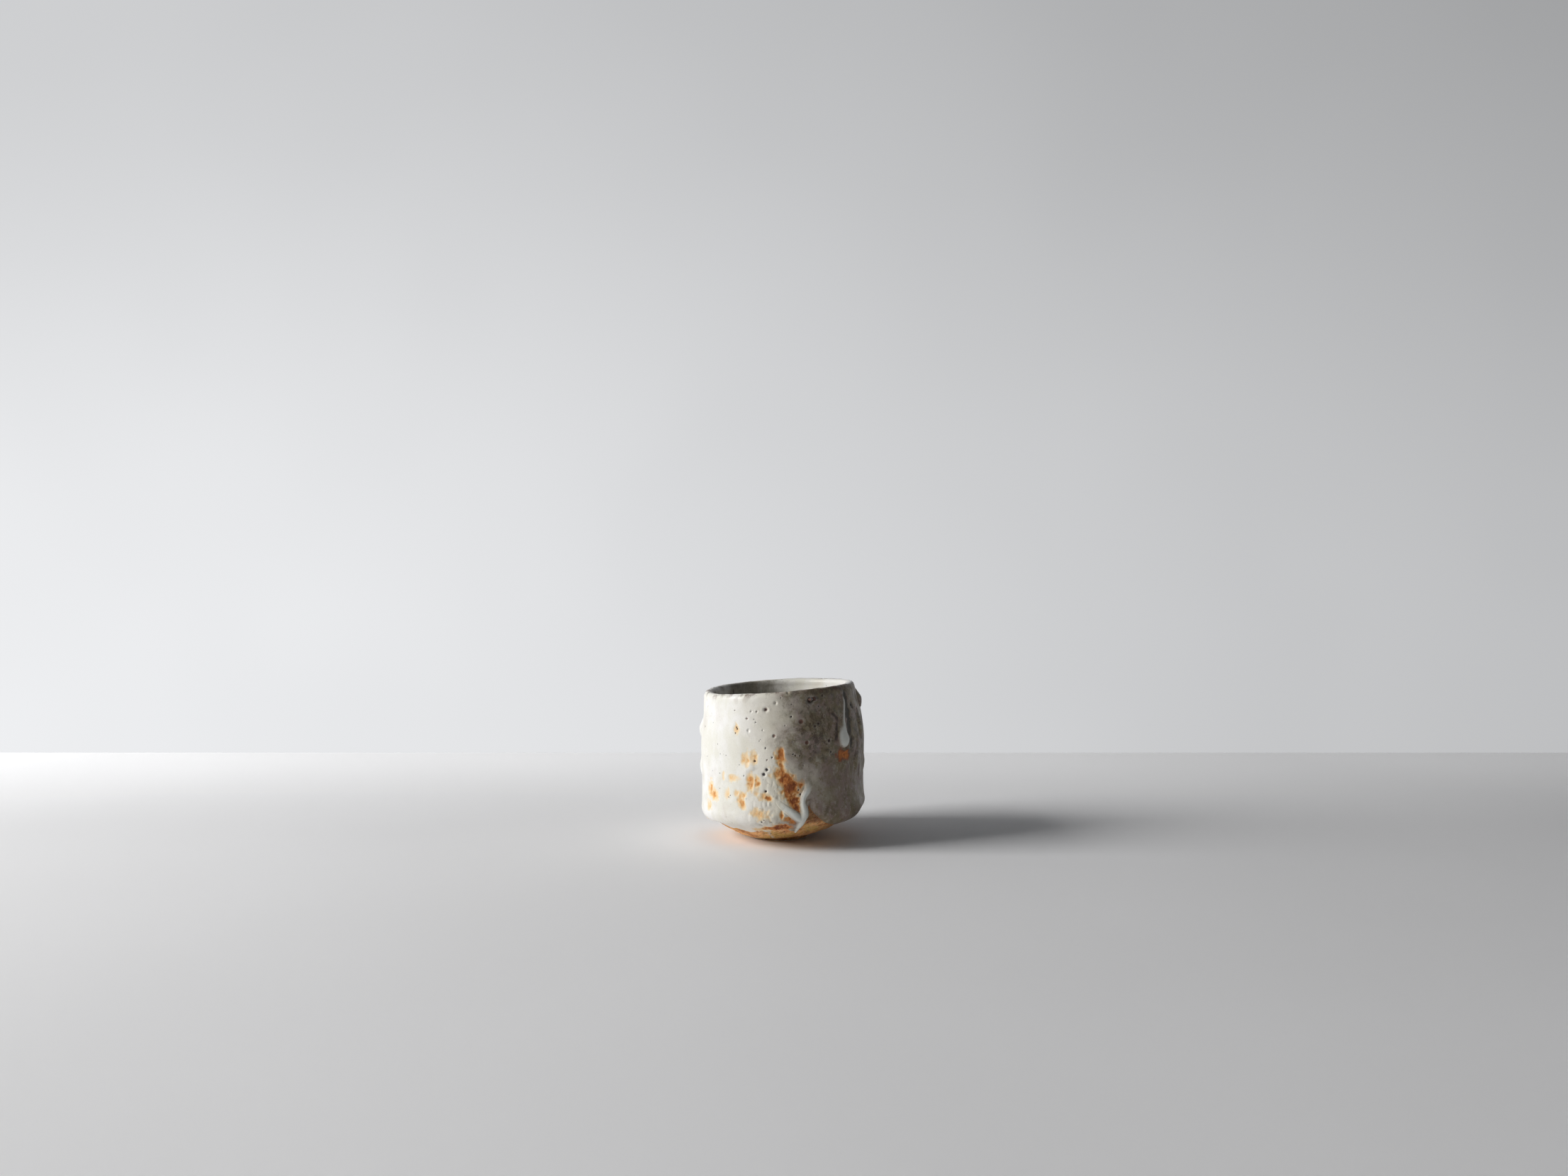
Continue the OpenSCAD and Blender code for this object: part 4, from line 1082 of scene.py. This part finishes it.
def pit_glaze(s, tone, pits, body, height):
    """Colour and height of a glaze with its pits: each a crisp hollow with a dark or
    rusty middle, in a low ring painted pale as a highlight."""
    nearest, blackest, rustiest = s.nearness(pits, 0.14 * MM)
    hollow = s.ramp(nearest, -0.15, 0.75)
    # Painted highlight: the pale ring stands for the pit's rim catching the light.
    ring = s.math("SUBTRACT", s.ramp(nearest, -1.3, -0.35), s.ramp(nearest, -0.35, 0.05))
    body = s.mix(s.math("MULTIPLY", ring, 0.10, clamp=True), body, tone.white)
    body = s.mix(s.ramp(rustiest, -0.45, 0.45, 0, 0.80), body, tone.rust)
    body = s.mix(s.ramp(blackest, 0.0, 0.40, 0, 0.95), body, tone.iron)
    height = s.math("SUBTRACT", height, s.times(hollow, 0.9))
    return body, s.math("ADD", height, s.times(ring, 0.12))


def clay_material(name, tone):
    """Bare ochre clay: light and scorched clay in drifts drawn out level, ochre bloom,
    sandy grain, iron specks and small scars, and an orange flash, a maroon hollow of
    painted shade and a pale smear where the mesh says so."""
    s = Shader(name)
    flash, maroon_shade, smear, _ = s.stains()
    grain = s.noise(0.7 * MM, 5.0, 0.75, stretch=0.8)
    scar = s.noise(1.5 * MM, 5.0, 0.7, stretch=0.75, shift=6.6)
    body = s.drift(tone.clay, tone.clay_dark, 5 * MM, 0.44, 0.66, detail=5.0, rough=0.65, stretch=0.7)
    body = s.drift(body, tone.clay_ochre, 8 * MM, 0.46, 0.62, 0.8, detail=4.0, stretch=0.7, shift=2.2)
    body = s.drift(body, tone.clay_pale, 1.3 * MM, 0.52, 0.64, 0.6,
                   detail=5.0, rough=0.7, stretch=0.7, shift=3.3)
    body = s.mix(s.ramp(grain, 0.55, 0.68, 0, 0.50), body, tone.clay_dark)
    body = s.mix(s.times(flash, s.ramp(grain, 0.3, 0.55, 0.3, 1.0)), body, tone.clay_flash)
    body = s.mix(s.times(maroon_shade, s.ramp(grain, 0.3, 0.6, 0.5, 1.0)), body, tone.clay_maroon)
    body = s.mix(s.times(smear, 0.6), body, tone.white)
    body = s.mix(s.times(s.specks(1.7 * MM, 0.22, 0.021), 0.7), body, tone.iron)
    body = s.mix(s.ramp(scar, 0.57, 0.64, 0, 0.30), body, tone.clay_maroon)
    height = s.math("SUBTRACT", grain, s.ramp(scar, 0.52, 0.64, 0, 0.9))
    return s.finish(body, s.ramp(grain, 0.3, 0.7, 0.75, 0.95), s.bump(height, 0.32 * MM, 0.9), IOR=1.45)


def stone_material(name, tone):
    """Half-melted feldspar: a glassy brown, rusty and scorched in places."""
    s = Shader(name)
    body = s.drift(tone.umber, tone.rust, 1.2 * MM, 0.40, 0.66, detail=2.0)
    body = s.drift(body, tone.clay_dark, 0.9 * MM, 0.58, 0.66, 0.6, detail=1.0, shift=1.3)
    rough = s.ramp(s.noise(0.8 * MM), 0.3, 0.7, 0.05, 0.15)
    return s.finish(body, rough, s.bump(s.noise(0.9 * MM), 0.08 * MM), IOR=1.52, Coat_Weight=0.6,
                    Coat_Roughness=0.03)


def stage_material(name, tint, dark, lit=None, far=0.0):
    """Matt pale surface with a faint unevenness. Light that bounces off it comes back
    as from a darker one, by the share dark, which keeps the shaded side in shade. Where
    lit is given, the camera and reflections see it at that strength of its own colour,
    fading slowly from left to right and upwards. Otherwise they see it as it is lit,
    with a glow that grows towards the wall, up to the strength far, and far out on the
    table, and fades from left to right."""
    s = Shader(name)
    dull = tuple(c * 0.97 for c in tint[:3]) + (1.0,)
    bounce = tuple(c * dark for c in tint[:3]) + (1.0,)
    body = s.mix(s.ramp(s.noise(0.25, 2.0), 0.35, 0.65), tint, dull)
    path = s.add("ShaderNodeLightPath").outputs
    seen = s.math("MAXIMUM", path["Is Camera Ray"], path["Is Glossy Ray"])
    seen = s.math("MAXIMUM", seen, path["Is Transmission Ray"])
    s.finish(s.mix(seen, bounce, body), 0.75, s.bump(s.noise(2 * MM, 2.0), 0.05 * MM, 0.3), IOR=1.4)
    side, ahead, up = s.add("ShaderNodeSeparateXYZ", {0: s.place}).outputs
    fade = s.ramp(side, -0.5, 0.6, 1.08, 0.62)
    if lit is None:
        away = s.vector("LENGTH", {0: s.place}).outputs["Value"]
        glow = s.math("MAXIMUM", s.ramp(ahead, 0.0, 0.22, 0, far), s.ramp(away, 0.6, 2.0, 0, 0.8))
        light = s.add("ShaderNodeEmission", {"Color": body, "Strength": s.times(s.times(fade, seen), glow)})
        both = s.add("ShaderNodeAddShader", {0: s.surface.outputs[0], 1: light.outputs[0]})
    else:
        glow = s.ramp(up, 0.05, 0.5, lit, 0.70 * lit)
        light = s.add("ShaderNodeEmission", {"Color": body, "Strength": s.times(fade, glow)})
        both = s.add("ShaderNodeMixShader", {0: seen, 1: s.surface.outputs[0], 2: light.outputs[0]})
    s.tree.links.new(both.outputs[0], s.tree.nodes["Material Output"].inputs["Surface"])
    return s.material


GROUPS = {"guinomi_form": GuinomiForm, "guinomi_runs": GuinomiRuns, "guinomi_colours": GuinomiColours}


class GuinomiOperator:
    """What the operators share: each makes its piece from the three property groups"""
    bl_options = {"REGISTER", "UNDO"}

    def execute(self, context):
        self.make(*(getattr(context.scene, name) for name in GROUPS))
        return {"FINISHED"}


class GUINOMI_OT_clay_body(GuinomiOperator, bpy.types.Operator):
    """Makes the clay body, with its bare underside in full detail"""
    bl_idname = "guinomi.clay_body"
    bl_label = "Clay body"

    def make(self, form, runs, tone):
        """Rings at even steps of arc from the seat to above the notch, where the clay
        shows, then coarser ones up the wall, over the lip and down the well. The bare
        part has sandy noise and shallow trimming grooves, sines of the arc. The stain
        is a flash along the coat's edge, maroon painted shade high in the notch between
        the runs, and a pale smear."""
        count, fine, coarse = CLAY_GRID
        th = np.linspace(0, WRAP, count, endpoint=False)
        curve = Outline(form, th)
        shown = curve.arc_of(CLAY_SHOWN)
        arc = np.linspace(0, shown, fine)
        arc = np.concatenate([arc, np.linspace(shown, curve.arc[-1], coarse)[1:-1]])
        q = np.broadcast_to(curve.station_of(arc)[:, None], (len(arc), len(th)))
        p, out = curve.at(q), curve.normal(q)
        at = curve.turned(p)
        bare = curve.arc_of(coat_edge(form, th)) - arc[:, None]
        shows = ease(bare, -1.0 * MM, 0.3 * MM)
        above_seat = ease(arc[:, None], 0, 1 * MM)
        relief = 0.16 * MM * noise(at, 4.5 * MM, 61) + 0.10 * MM * noise(at, 1.5 * MM, 62)
        relief += 0.06 * MM * noise(at, 0.7 * MM, 63)
        relief += GROOVE_DEPTH * np.sin(WRAP * arc[:, None] / GROOVE_PITCH + 1.5 * noise(at, 9 * MM, 64))
        hidden = -0.12 * MM * (1 - shows)
        at = curve.turned(p + (relief * shows * above_seat + hidden)[..., None] * out)
        flash = ease(-np.abs(bare - 0.6 * MM), -1.5 * MM, -0.1 * MM)
        flash = flash * ease(noise(at, 3.5 * MM, 65), -0.5, 0.5)
        # Painted shade: maroon, stronger higher up the notch between the runs.
        maroon_shade = ease(at[..., 2], 9.6 * MM, 11.5 * MM)
        smear = np.exp(-(apart(th, SMEAR_AT) * form.width / 2 / SMEAR_WIDTH) ** 2)
        smear = smear * ease(noise(at, 1.6 * MM, 66), -0.5, 0.3) * (1 - ease(arc[:, None], 14 * MM, 15 * MM))
        stain = np.stack([flash, 0.75 * maroon_shade, smear, 0 * flash], axis=-1)
        floor = curve.turned(curve.at(np.full(len(th), float(CENTRE))))[0]
        piece = closed_mesh("body_clay", at, (0, 0, form.foot_height), tuple(floor), stain)
        finish_piece(piece, "body_clay", clay_material("Body clay", tone), "clay_body")


class GUINOMI_OT_foot_ring(GuinomiOperator, bpy.types.Operator):
    """Makes the foot ring, cut level under the leaning body"""
    bl_idname = "guinomi.foot_ring"
    bl_label = "Foot ring"

    def make(self, form, runs, tone):
        """A rounded band turned round the axis: from the inside top down, under and up
        the outside, with the top on the body's tilted seat, and a low wobble."""
        count, across, round_edge = FOOT_GRID
        th = np.linspace(0, WRAP, count, endpoint=False)
        outer, inner = form.foot_width / 2, form.foot_width / 2 - form.foot_band
        curl = np.linspace(0, np.pi / 2, round_edge)
        r = form.foot_round
        flat = np.linspace(inner + r, outer - r, across)[1:-1]
        low, high = r - r * np.cos(curl), r - r * np.sin(curl)
        radius = np.concatenate([[inner], inner + low, flat, outer - high, [outer]])[:, None] + 0 * th
        z = np.concatenate([[0], high, 0 * flat, low, [0]])[:, None] + 0 * th
        side = ease(z, 0.1 * MM, 0.5 * MM)
        seat = form.foot_height + np.tan(form.foot_tilt) * radius * np.cos(th)
        z[[0, -1]] = seat[[0, -1]]
        at = np.stack([radius * np.cos(th), radius * np.sin(th), z], axis=-1)
        wobble = 0.10 * MM * noise(at, 2.4 * MM, 71) * side
        at[..., 0] += wobble * np.cos(th)
        at[..., 1] += wobble * np.sin(th)
        piece = closed_mesh("foot_clay", at, stain=np.zeros((*at.shape[:2], 4)))
        finish_piece(piece, "foot_clay", clay_material("Foot clay", tone), "foot_ring")


class GUINOMI_OT_outer_glaze(GuinomiOperator, bpy.types.Operator):
    """Makes the thick white coat, from its ragged edge to the crest of the lip"""
    bl_idname = "guinomi.outer_glaze"
    bl_label = "Outer glaze"

    def make(self, form, runs, tone):
        """Rings from the ragged edge up to the crest, on the glazed surface, and back
        down inside on the clay. Their arcs are a soft maximum of the edge's own arc
        and of even steps, so that the rings crowd at the edge and run level above it."""
        count, seen, hidden = COAT_GRID
        th = columns(count, FRONT_CROWD)
        curve = Outline(form, th)
        start, end = curve.arc_of(coat_edge(form, th)), curve.arc[CREST]
        share = np.linspace(0, EDGE_SHARE, EDGE_RINGS)[:-1]
        share = np.concatenate([share, np.linspace(EDGE_SHARE, 1, seen)])[:, None]
        level = (lerp(start.min(), end, share) - start) / (2 * MM)
        level = np.logaddexp(0, level) - np.logaddexp(0, level[0])
        outer = curve.station_of(lerp(start, end, level / level[-1]))
        at, stain = glaze_surface(curve, outer)
        back = curve.station_of(lerp(start, end, np.linspace(1, 0, hidden)[:, None]))
        clay = curve.turned(curve.at(back))
        rings = np.concatenate([at, clay])
        stain = np.concatenate([stain, np.zeros((*clay.shape[:2], 4))])
        piece = closed_mesh("outer_coat", rings, stain=stain)
        material = glaze_material("Outer glaze", tone, stained=True, pits=pit_places(form))
        finish_piece(piece, "outer_glaze", material, "outer_glaze")


class GUINOMI_OT_liner_glaze(GuinomiOperator, bpy.types.Operator):
    """Makes the coat inside the well, which meets the outer coat on the crest"""
    bl_idname = "guinomi.liner_glaze"
    bl_label = "Liner glaze"

    def make(self, form, runs, tone):
        """Rings from the crest down the well at even steps of arc, offset from the clay
        by the liner's thickness, with slow unevenness, faint throwing ridges and folds
        under the lip on the left, and the clay's own rings on the back. The stain is
        painted shade, olive and dark, round the left of the well, which faces away from
        the light, painted shade in the hollows of the folds, and dark in a drip."""
        count, seen, hidden = LINER_GRID
        th = np.linspace(0, WRAP, count, endpoint=False)
        curve = Outline(form, th)
        crest, centre = curve.arc[CREST], curve.arc[CENTRE]
        arc = lerp(crest, centre, np.linspace(0, WELL_REACH, seen)[:, None])
        back = lerp(crest, centre, np.linspace(0, WELL_REACH, hidden)[:, None])
        q = curve.station_of(arc) + 0 * th
        p, out = curve.at(q), curve.normal(q)
        settled = ease(arc, crest, curve.arc[CREST + 2])
        coat = lerp(LIP_COAT * form.coat, form.liner, settled)
        at = curve.turned(p + coat[..., None] * out)
        fade = ease(arc, crest, crest + 3 * MM)
        top, _ = glaze_surface(curve, np.full((1, len(th)), float(CREST)))
        relief = slow_relief(at) + fine_relief(at) - LIP_WEAR * (1 - settled)
        ridges = np.sin(WRAP * arc / THROWING_PITCH + 2 * noise(at, 25 * MM, 81))
        relief += fade * THROWING_DEPTH * ridges
        near_lip = 1 - ease(arc, crest + 3 * MM, crest + 12 * MM)
        left = ease(np.abs(apart(th, 0)), radians(125), radians(160)) * near_lip * fade
        fold = noise(at / np.array([1, 1, 2.0]), 2.2 * MM, 82)
        relief += FOLD_RISE * left * fold
        # Painted shade: olive and dark round the left of the well, which faces away from the light, and dark
        # in the hollows of the folds.
        shaded_side = ease(np.abs(apart(th, WELL_SHADE_AT)), radians(112), radians(48))
        cloud = noise(at, 8 * MM, 83) + 0.5 * noise(at, 3 * MM, 84)
        olive = 0.85 * shaded_side * ease(cloud, -1.4, 0.2)
        dark = shaded_side * (0.50 + 0.12 * ease(cloud, -0.4, 0.6))
        drip = np.exp(-(apart(th, WELL_DRIP_AT) * form.width / 2 / WELL_DRIP_WIDTH) ** 2) * near_lip
        dark = np.maximum(dark, np.maximum(0.9 * left * ease(-fold, 0.2, 0.7), 0.9 * drip * fade))
        stain = np.stack([0 * olive, dark, 0 * olive, np.clip(olive, 0, 1)], axis=-1)
        at = curve.turned(p + (coat + relief)[..., None] * out)
        at[0] = top[0]
        clay = curve.turned(curve.at(curve.station_of(back) + 0 * th))[::-1]
        material = glaze_material("Liner glaze", tone, stained=True, specks=0.8, thin_and_shaded=0.0, ragged=0.3)
        finish_piece(self.closed(at, clay, stain), "liner_glaze", material, "liner_glaze")

    def closed(self, at, clay, stain):
        """The visible rings and the hidden ones as one mesh: both end in a small ring
        near the centre of the well, and the strips between them close it."""
        hub, under = at[-1].mean(axis=0), clay[0].mean(axis=0)
        spokes = [lerp(at[-1:], hub, k) for k in (0.5, 0.96)]
        below = [lerp(clay[:1], under, k) for k in (0.96, 0.5)]
        rings = np.concatenate([at, *spokes, *below, clay])
        plain = np.zeros((len(rings) - len(stain), *stain.shape[1:]))
        return closed_mesh("well_liner", rings, stain=np.concatenate([stain, plain]))


class GUINOMI_OT_rim_run(GuinomiOperator, bpy.types.Operator):
    """Makes the long run that hangs from the lip"""
    bl_idname = "guinomi.rim_run"
    bl_label = "Rim run"

    def make(self, form, runs, tone):
        """A run along its path, with its crest near the right edge and a full bulb. It is
        white all over the bulb, and above it only along the crest, where the white is a
        painted highlight."""
        rings, thick = run_rings(form, RIM_RUN, runs.rim_width * RIM_SKIRT, runs.rim_rise,
                                 leaning_profile, RIM_GRID, top=0.16, neck=0.9)
        high = np.maximum(thick.max(axis=1, keepdims=True), 0.01)
        # Painted highlight: above the bulb, only the crest is whitened.
        crest_highlight = 0.9 * (thick / high) ** 5 * high ** 0.7
        thick = lerp(crest_highlight, 1.15 * thick, ease(np.linspace(0, 1, len(thick)), 0.28, 0.55)[:, None])
        material = run_material("Long run glaze", tone)
        finish_piece(run_piece("long_run", rings, thick), "run_glaze", material, "rim_run")


class GUINOMI_OT_forked_run(GuinomiOperator, bpy.types.Operator):
    """Makes the two narrow runs that join and end in a tip on the bare clay"""
    bl_idname = "guinomi.forked_run"
    bl_label = "Forked run"

    def make(self, form, runs, tone):
        """Two runs along their paths. The left one starts flatter and ends inside the
        right one."""
        material = run_material("Forked run glaze", tone)
        width = runs.fork_width * FORK_SKIRT
        rise = FULLNESS * runs.fork_rise
        right = run_rings(form, FORK_RIGHT, width, rise, round_profile, FORK_RIGHT_GRID, top=0.40, neck=1.5)
        path = FORK_LEFT.copy()
        path[:, 3] *= np.linspace(0.40, 0.90, len(path))
        left = run_rings(form, path, 1.05 * width, rise, round_profile, FORK_LEFT_GRID,
                         top=0.75, neck=1.3, tip=0.10)
        finish_piece(run_piece("fork_right", *right), "run_glaze", material, "forked_run")
        finish_piece(run_piece("fork_left", *left), "run_glaze", material, "forked_run")


class GUINOMI_OT_curtain_run(GuinomiOperator, bpy.types.Operator):
    """Makes the heavy curtain of glaze with its rolled edge"""
    bl_idname = "guinomi.curtain_run"
    bl_label = "Curtain"

    def make(self, form, runs, tone):
        """Strips across the rolled edge and on towards a focus. Outside the roll's
        middle line the rise is a quarter circle of half its width, softer at both ends
        of the path. Inside it dies away as a smooth step of the way to the focus."""
        share = np.linspace(0, 1, CURTAIN_ROWS)
        row = smooth_path(CURTAIN, share)
        radius = form.width / 2
        line = np.stack([np.radians(row[:, 0]) * radius, row[:, 1] * form.height], axis=-1)
        focus = np.array([radians(CURTAIN_FOCUS[0]) * radius, CURTAIN_FOCUS[1] * form.height])
        along = np.gradient(line, axis=0)
        along /= np.linalg.norm(along, axis=-1, keepdims=True)
        away = np.stack([along[:, 1], -along[:, 0]], axis=-1)
        away *= np.sign(np.sum(away * (line - focus), axis=-1, keepdims=True))
        half = runs.curtain_width / 2 * row[:, 2]
        turn = np.cos(np.linspace(0, np.pi / 2, 14)[:-1])
        outer = line[:, None] + (away * half[:, None])[:, None] * turn[:, None]
        b = np.linspace(0, 1, 56) ** 1.3
        inner = lerp(line[:, None], focus, (b * CURTAIN_REACH)[:, None])
        flat = np.concatenate([outer, inner], axis=1)
        point, out, full = skin_grid(form, flat[..., 0] / radius, flat[..., 1])
        ends = (ease(share, 0.06, 0.40) * (1 - ease(share, 0.80, 1)))[:, None]
        edge = lerp((1 - turn ** 2) ** PROFILE_POWER, np.sqrt(1 - turn ** 2), ends)
        rest = np.broadcast_to(1 - ease(b, 0, 0.92), (CURTAIN_ROWS, len(b)))
        thick = np.concatenate([edge, rest], axis=1)
        rise = runs.curtain_rise * row[:, 3:] * ends
        crest = full + out * rise[..., None]
        shown = lerp(point, crest, thick[..., None]) - out * CURTAIN_SINK
        rings = np.concatenate([shown, (point - out * CURTAIN_BACK_SINK)[:, -2:0:-1]], axis=1)
        pale = np.pad(0.18 * thick * ends, ((0, 0), (0, thick.shape[1] - 2)))
        material = run_material("Curtain glaze", tone)
        finish_piece(run_piece("curtain", rings, pale), "run_glaze", material, "curtain_run")


class GUINOMI_OT_glaze_beads(GuinomiOperator, bpy.types.Operator):
    """Makes the separate beads and short drips of glaze"""
    bl_idname = "guinomi.glaze_beads"
    bl_label = "Beads"

    def make(self, form, runs, tone):
        """Each bead is a short run, narrow at the top and full at the bottom. Its path
        starts above its top, and its rows are about as far apart as the tip is from
        the last of them."""
        material = run_material("Bead glaze", tone)
        width = runs.bead_width * BEAD_SKIRT
        for number, (angle, top, low, wide, high) in enumerate(BEADS, 1):
            reach = runs.bead_width * wide / 2 / form.height
            start = top + 1.3 * reach
            steps = max(2, round((start - low) / (1.5 * reach)))
            u = np.linspace(0, 1, steps + 1)
            path = np.stack([angle + 0 * u, lerp(start, low, u), wide * lerp(BEAD_TOP, 1, ease(u, 0, 0.8)),
                             high * lerp(BEAD_START, 1, u)], axis=-1)
            rings, thick = run_rings(form, path, width, FULLNESS * runs.bead_rise, round_profile, BEAD_GRID,
                                     top=0.65, neck=0.9, tip=1.3 / (steps + 1), blunt=0.55)
            piece = run_piece(f"bead_{number:02d}", rings, 0.35 * thick)
            finish_piece(piece, "run_glaze", material, "glaze_beads")


class GUINOMI_OT_burst_stone(GuinomiOperator, bpy.types.Operator):
    """Makes the grain of feldspar that burst out near the lip"""
    bl_idname = "guinomi.burst_stone"
    bl_label = "Burst stone"

    def make(self, form, runs, tone):
        """A ball flattened towards the wall, with its radius shaken by noise."""
        count, high = STONE_GRID
        turn, up = np.meshgrid(np.linspace(0, WRAP, count, endpoint=False), np.linspace(-1.45, 1.45, high))
        ball = np.stack([np.cos(up) * np.cos(turn), np.cos(up) * np.sin(turn), np.sin(up)], axis=-1)
        ball *= 1 + 0.22 * noise(ball, 0.8, 91)[..., None]
        th = np.array([radians(STONE_AT[0])])
        at, out = skin_point(form, th, np.array([STONE_AT[1] * form.height]))
        right = np.array([-np.sin(th[0]), np.cos(th[0]), 0])
        above = np.cross(out[0], right)
        half = runs.stone_width / 2
        axes = np.stack([right * half * 0.95, -above * half * 0.85, out[0] * runs.stone_rise])
        rings = at[0] + ball @ axes
        piece = run_piece("burst_stone_grain", rings, np.ones(rings.shape[:2]))
        finish_piece(piece, "feldspar", stone_material("Feldspar", tone), "burst_stone")


class GUINOMI_OT_stage(GuinomiOperator, bpy.types.Operator):
    """Makes the table, the wall behind, the lights and the camera"""
    bl_idname = "guinomi.stage"
    bl_label = "Stage"

    def make(self, form, runs, tone):
        wide = (-STAGE_HALF, STAGE_HALF, STAGE_HALF, -STAGE_HALF)
        self.sheet("table", zip(wide, (TABLE_FRONT, TABLE_FRONT, WALL_Y, WALL_Y), (0, 0, 0, 0)),
                   stage_material("Table", tone.table, 1.0, far=0.20))
        self.sheet("wall", zip(wide, (WALL_Y,) * 4, (0, 0, WALL_TOP, WALL_TOP)),
                   stage_material("Wall", tone.wall, 0.4, lit=1.06))
        for lamp in LIGHTS:
            self.light(*lamp)
        self.world()
        self.camera()

    def sheet(self, name, corners, material):
        """A flat stage surface from its corners."""
        mesh = bpy.data.meshes.new(name)
        mesh.from_pydata(list(corners), [], [(0, 1, 2, 3)])
        mesh.materials.append(material)
        put(name, mesh)

    def light(self, name, spot, size, power, tint):
        """A square soft light aimed at the cup."""
        lamp = bpy.data.lights.new(name, "AREA")
        lamp.energy, lamp.size, lamp.color = power, size, tint
        piece = put(name, lamp)
        piece.location = spot
        aim = put(name + "_aim", None)
        aim.location = AIM
        track = piece.constraints.new("TRACK_TO")
        track.target, track.track_axis, track.up_axis = aim, "TRACK_NEGATIVE_Z", "UP_Y"

    def world(self):
        """A plain sky that lights weakly, and looks pale to the camera and in gloss and
        glass."""
        sky = bpy.data.worlds.new("Room")
        sky.use_nodes = True
        nodes, links = sky.node_tree.nodes, sky.node_tree.links
        dim, pale = nodes["Background"], nodes.new("ShaderNodeBackground")
        dim.inputs["Color"].default_value = SKY_COLOUR
        dim.inputs["Strength"].default_value = SKY_LIGHT
        pale.inputs["Color"].default_value = SKY_SEEN
        path = nodes.new("ShaderNodeLightPath").outputs
        seen = path["Is Camera Ray"]
        for kind in ("Is Glossy Ray", "Is Transmission Ray"):
            either = nodes.new("ShaderNodeMath")
            either.operation, either.use_clamp = "ADD", True
            links.new(seen, either.inputs[0])
            links.new(path[kind], either.inputs[1])
            seen = either.outputs[0]
        both = nodes.new("ShaderNodeMixShader")
        for number, socket in enumerate((seen, dim.outputs[0], pale.outputs[0])):
            links.new(socket, both.inputs[number])
        links.new(both.outputs[0], nodes["World Output"].inputs[0])
        bpy.context.scene.world = sky

    def camera(self):
        """The camera, level with the eye of someone seated at the table."""
        lens = bpy.data.cameras.new("camera")
        lens.sensor_width, lens.lens, lens.clip_start = SENSOR, LENS, NEAREST
        eye = put("camera", lens)
        eye.location = EYE
        eye.rotation_euler = (EYE_TILT, 0, 0)
        bpy.context.scene.camera = eye
        bpy.context.scene.view_settings.view_transform = "Standard"


STEPS = ("clay_body", "foot_ring", "outer_glaze", "liner_glaze", "rim_run", "forked_run",
         "curtain_run", "glaze_beads", "burst_stone", "stage")


class GUINOMI_PT_panel(bpy.types.Panel):
    """Lists the cup's sizes, colours and steps"""
    bl_idname = "GUINOMI_PT_panel"
    bl_label = "Guinomi"
    bl_space_type = "VIEW_3D"
    bl_region_type = "UI"
    bl_category = "Guinomi"

    def draw(self, context):
        for step in STEPS:
            self.layout.operator(f"guinomi.{step}")
        for name in GROUPS:
            group = getattr(context.scene, name)
            box = self.layout.box()
            for key in group.__annotations__:
                box.prop(group, key)


CLASSES = (
    *GROUPS.values(), GUINOMI_OT_clay_body, GUINOMI_OT_foot_ring, GUINOMI_OT_outer_glaze,
    GUINOMI_OT_liner_glaze, GUINOMI_OT_rim_run, GUINOMI_OT_forked_run,
    GUINOMI_OT_curtain_run, GUINOMI_OT_glaze_beads, GUINOMI_OT_burst_stone, GUINOMI_OT_stage,
    GUINOMI_PT_panel)


def register():
    """Registers the classes and hangs the property groups on the scene."""
    for cls in CLASSES:
        bpy.utils.register_class(cls)
    for name, group in GROUPS.items():
        setattr(bpy.types.Scene, name, bpy.props.PointerProperty(type=group))


def unregister():
    """Takes the classes and the property groups away again."""
    for name in GROUPS:
        delattr(bpy.types.Scene, name)
    for cls in reversed(CLASSES):
        bpy.utils.unregister_class(cls)


def main():
    register()
    for step in STEPS:
        getattr(bpy.ops.guinomi, step)()


if __name__ == "__main__":
    main()
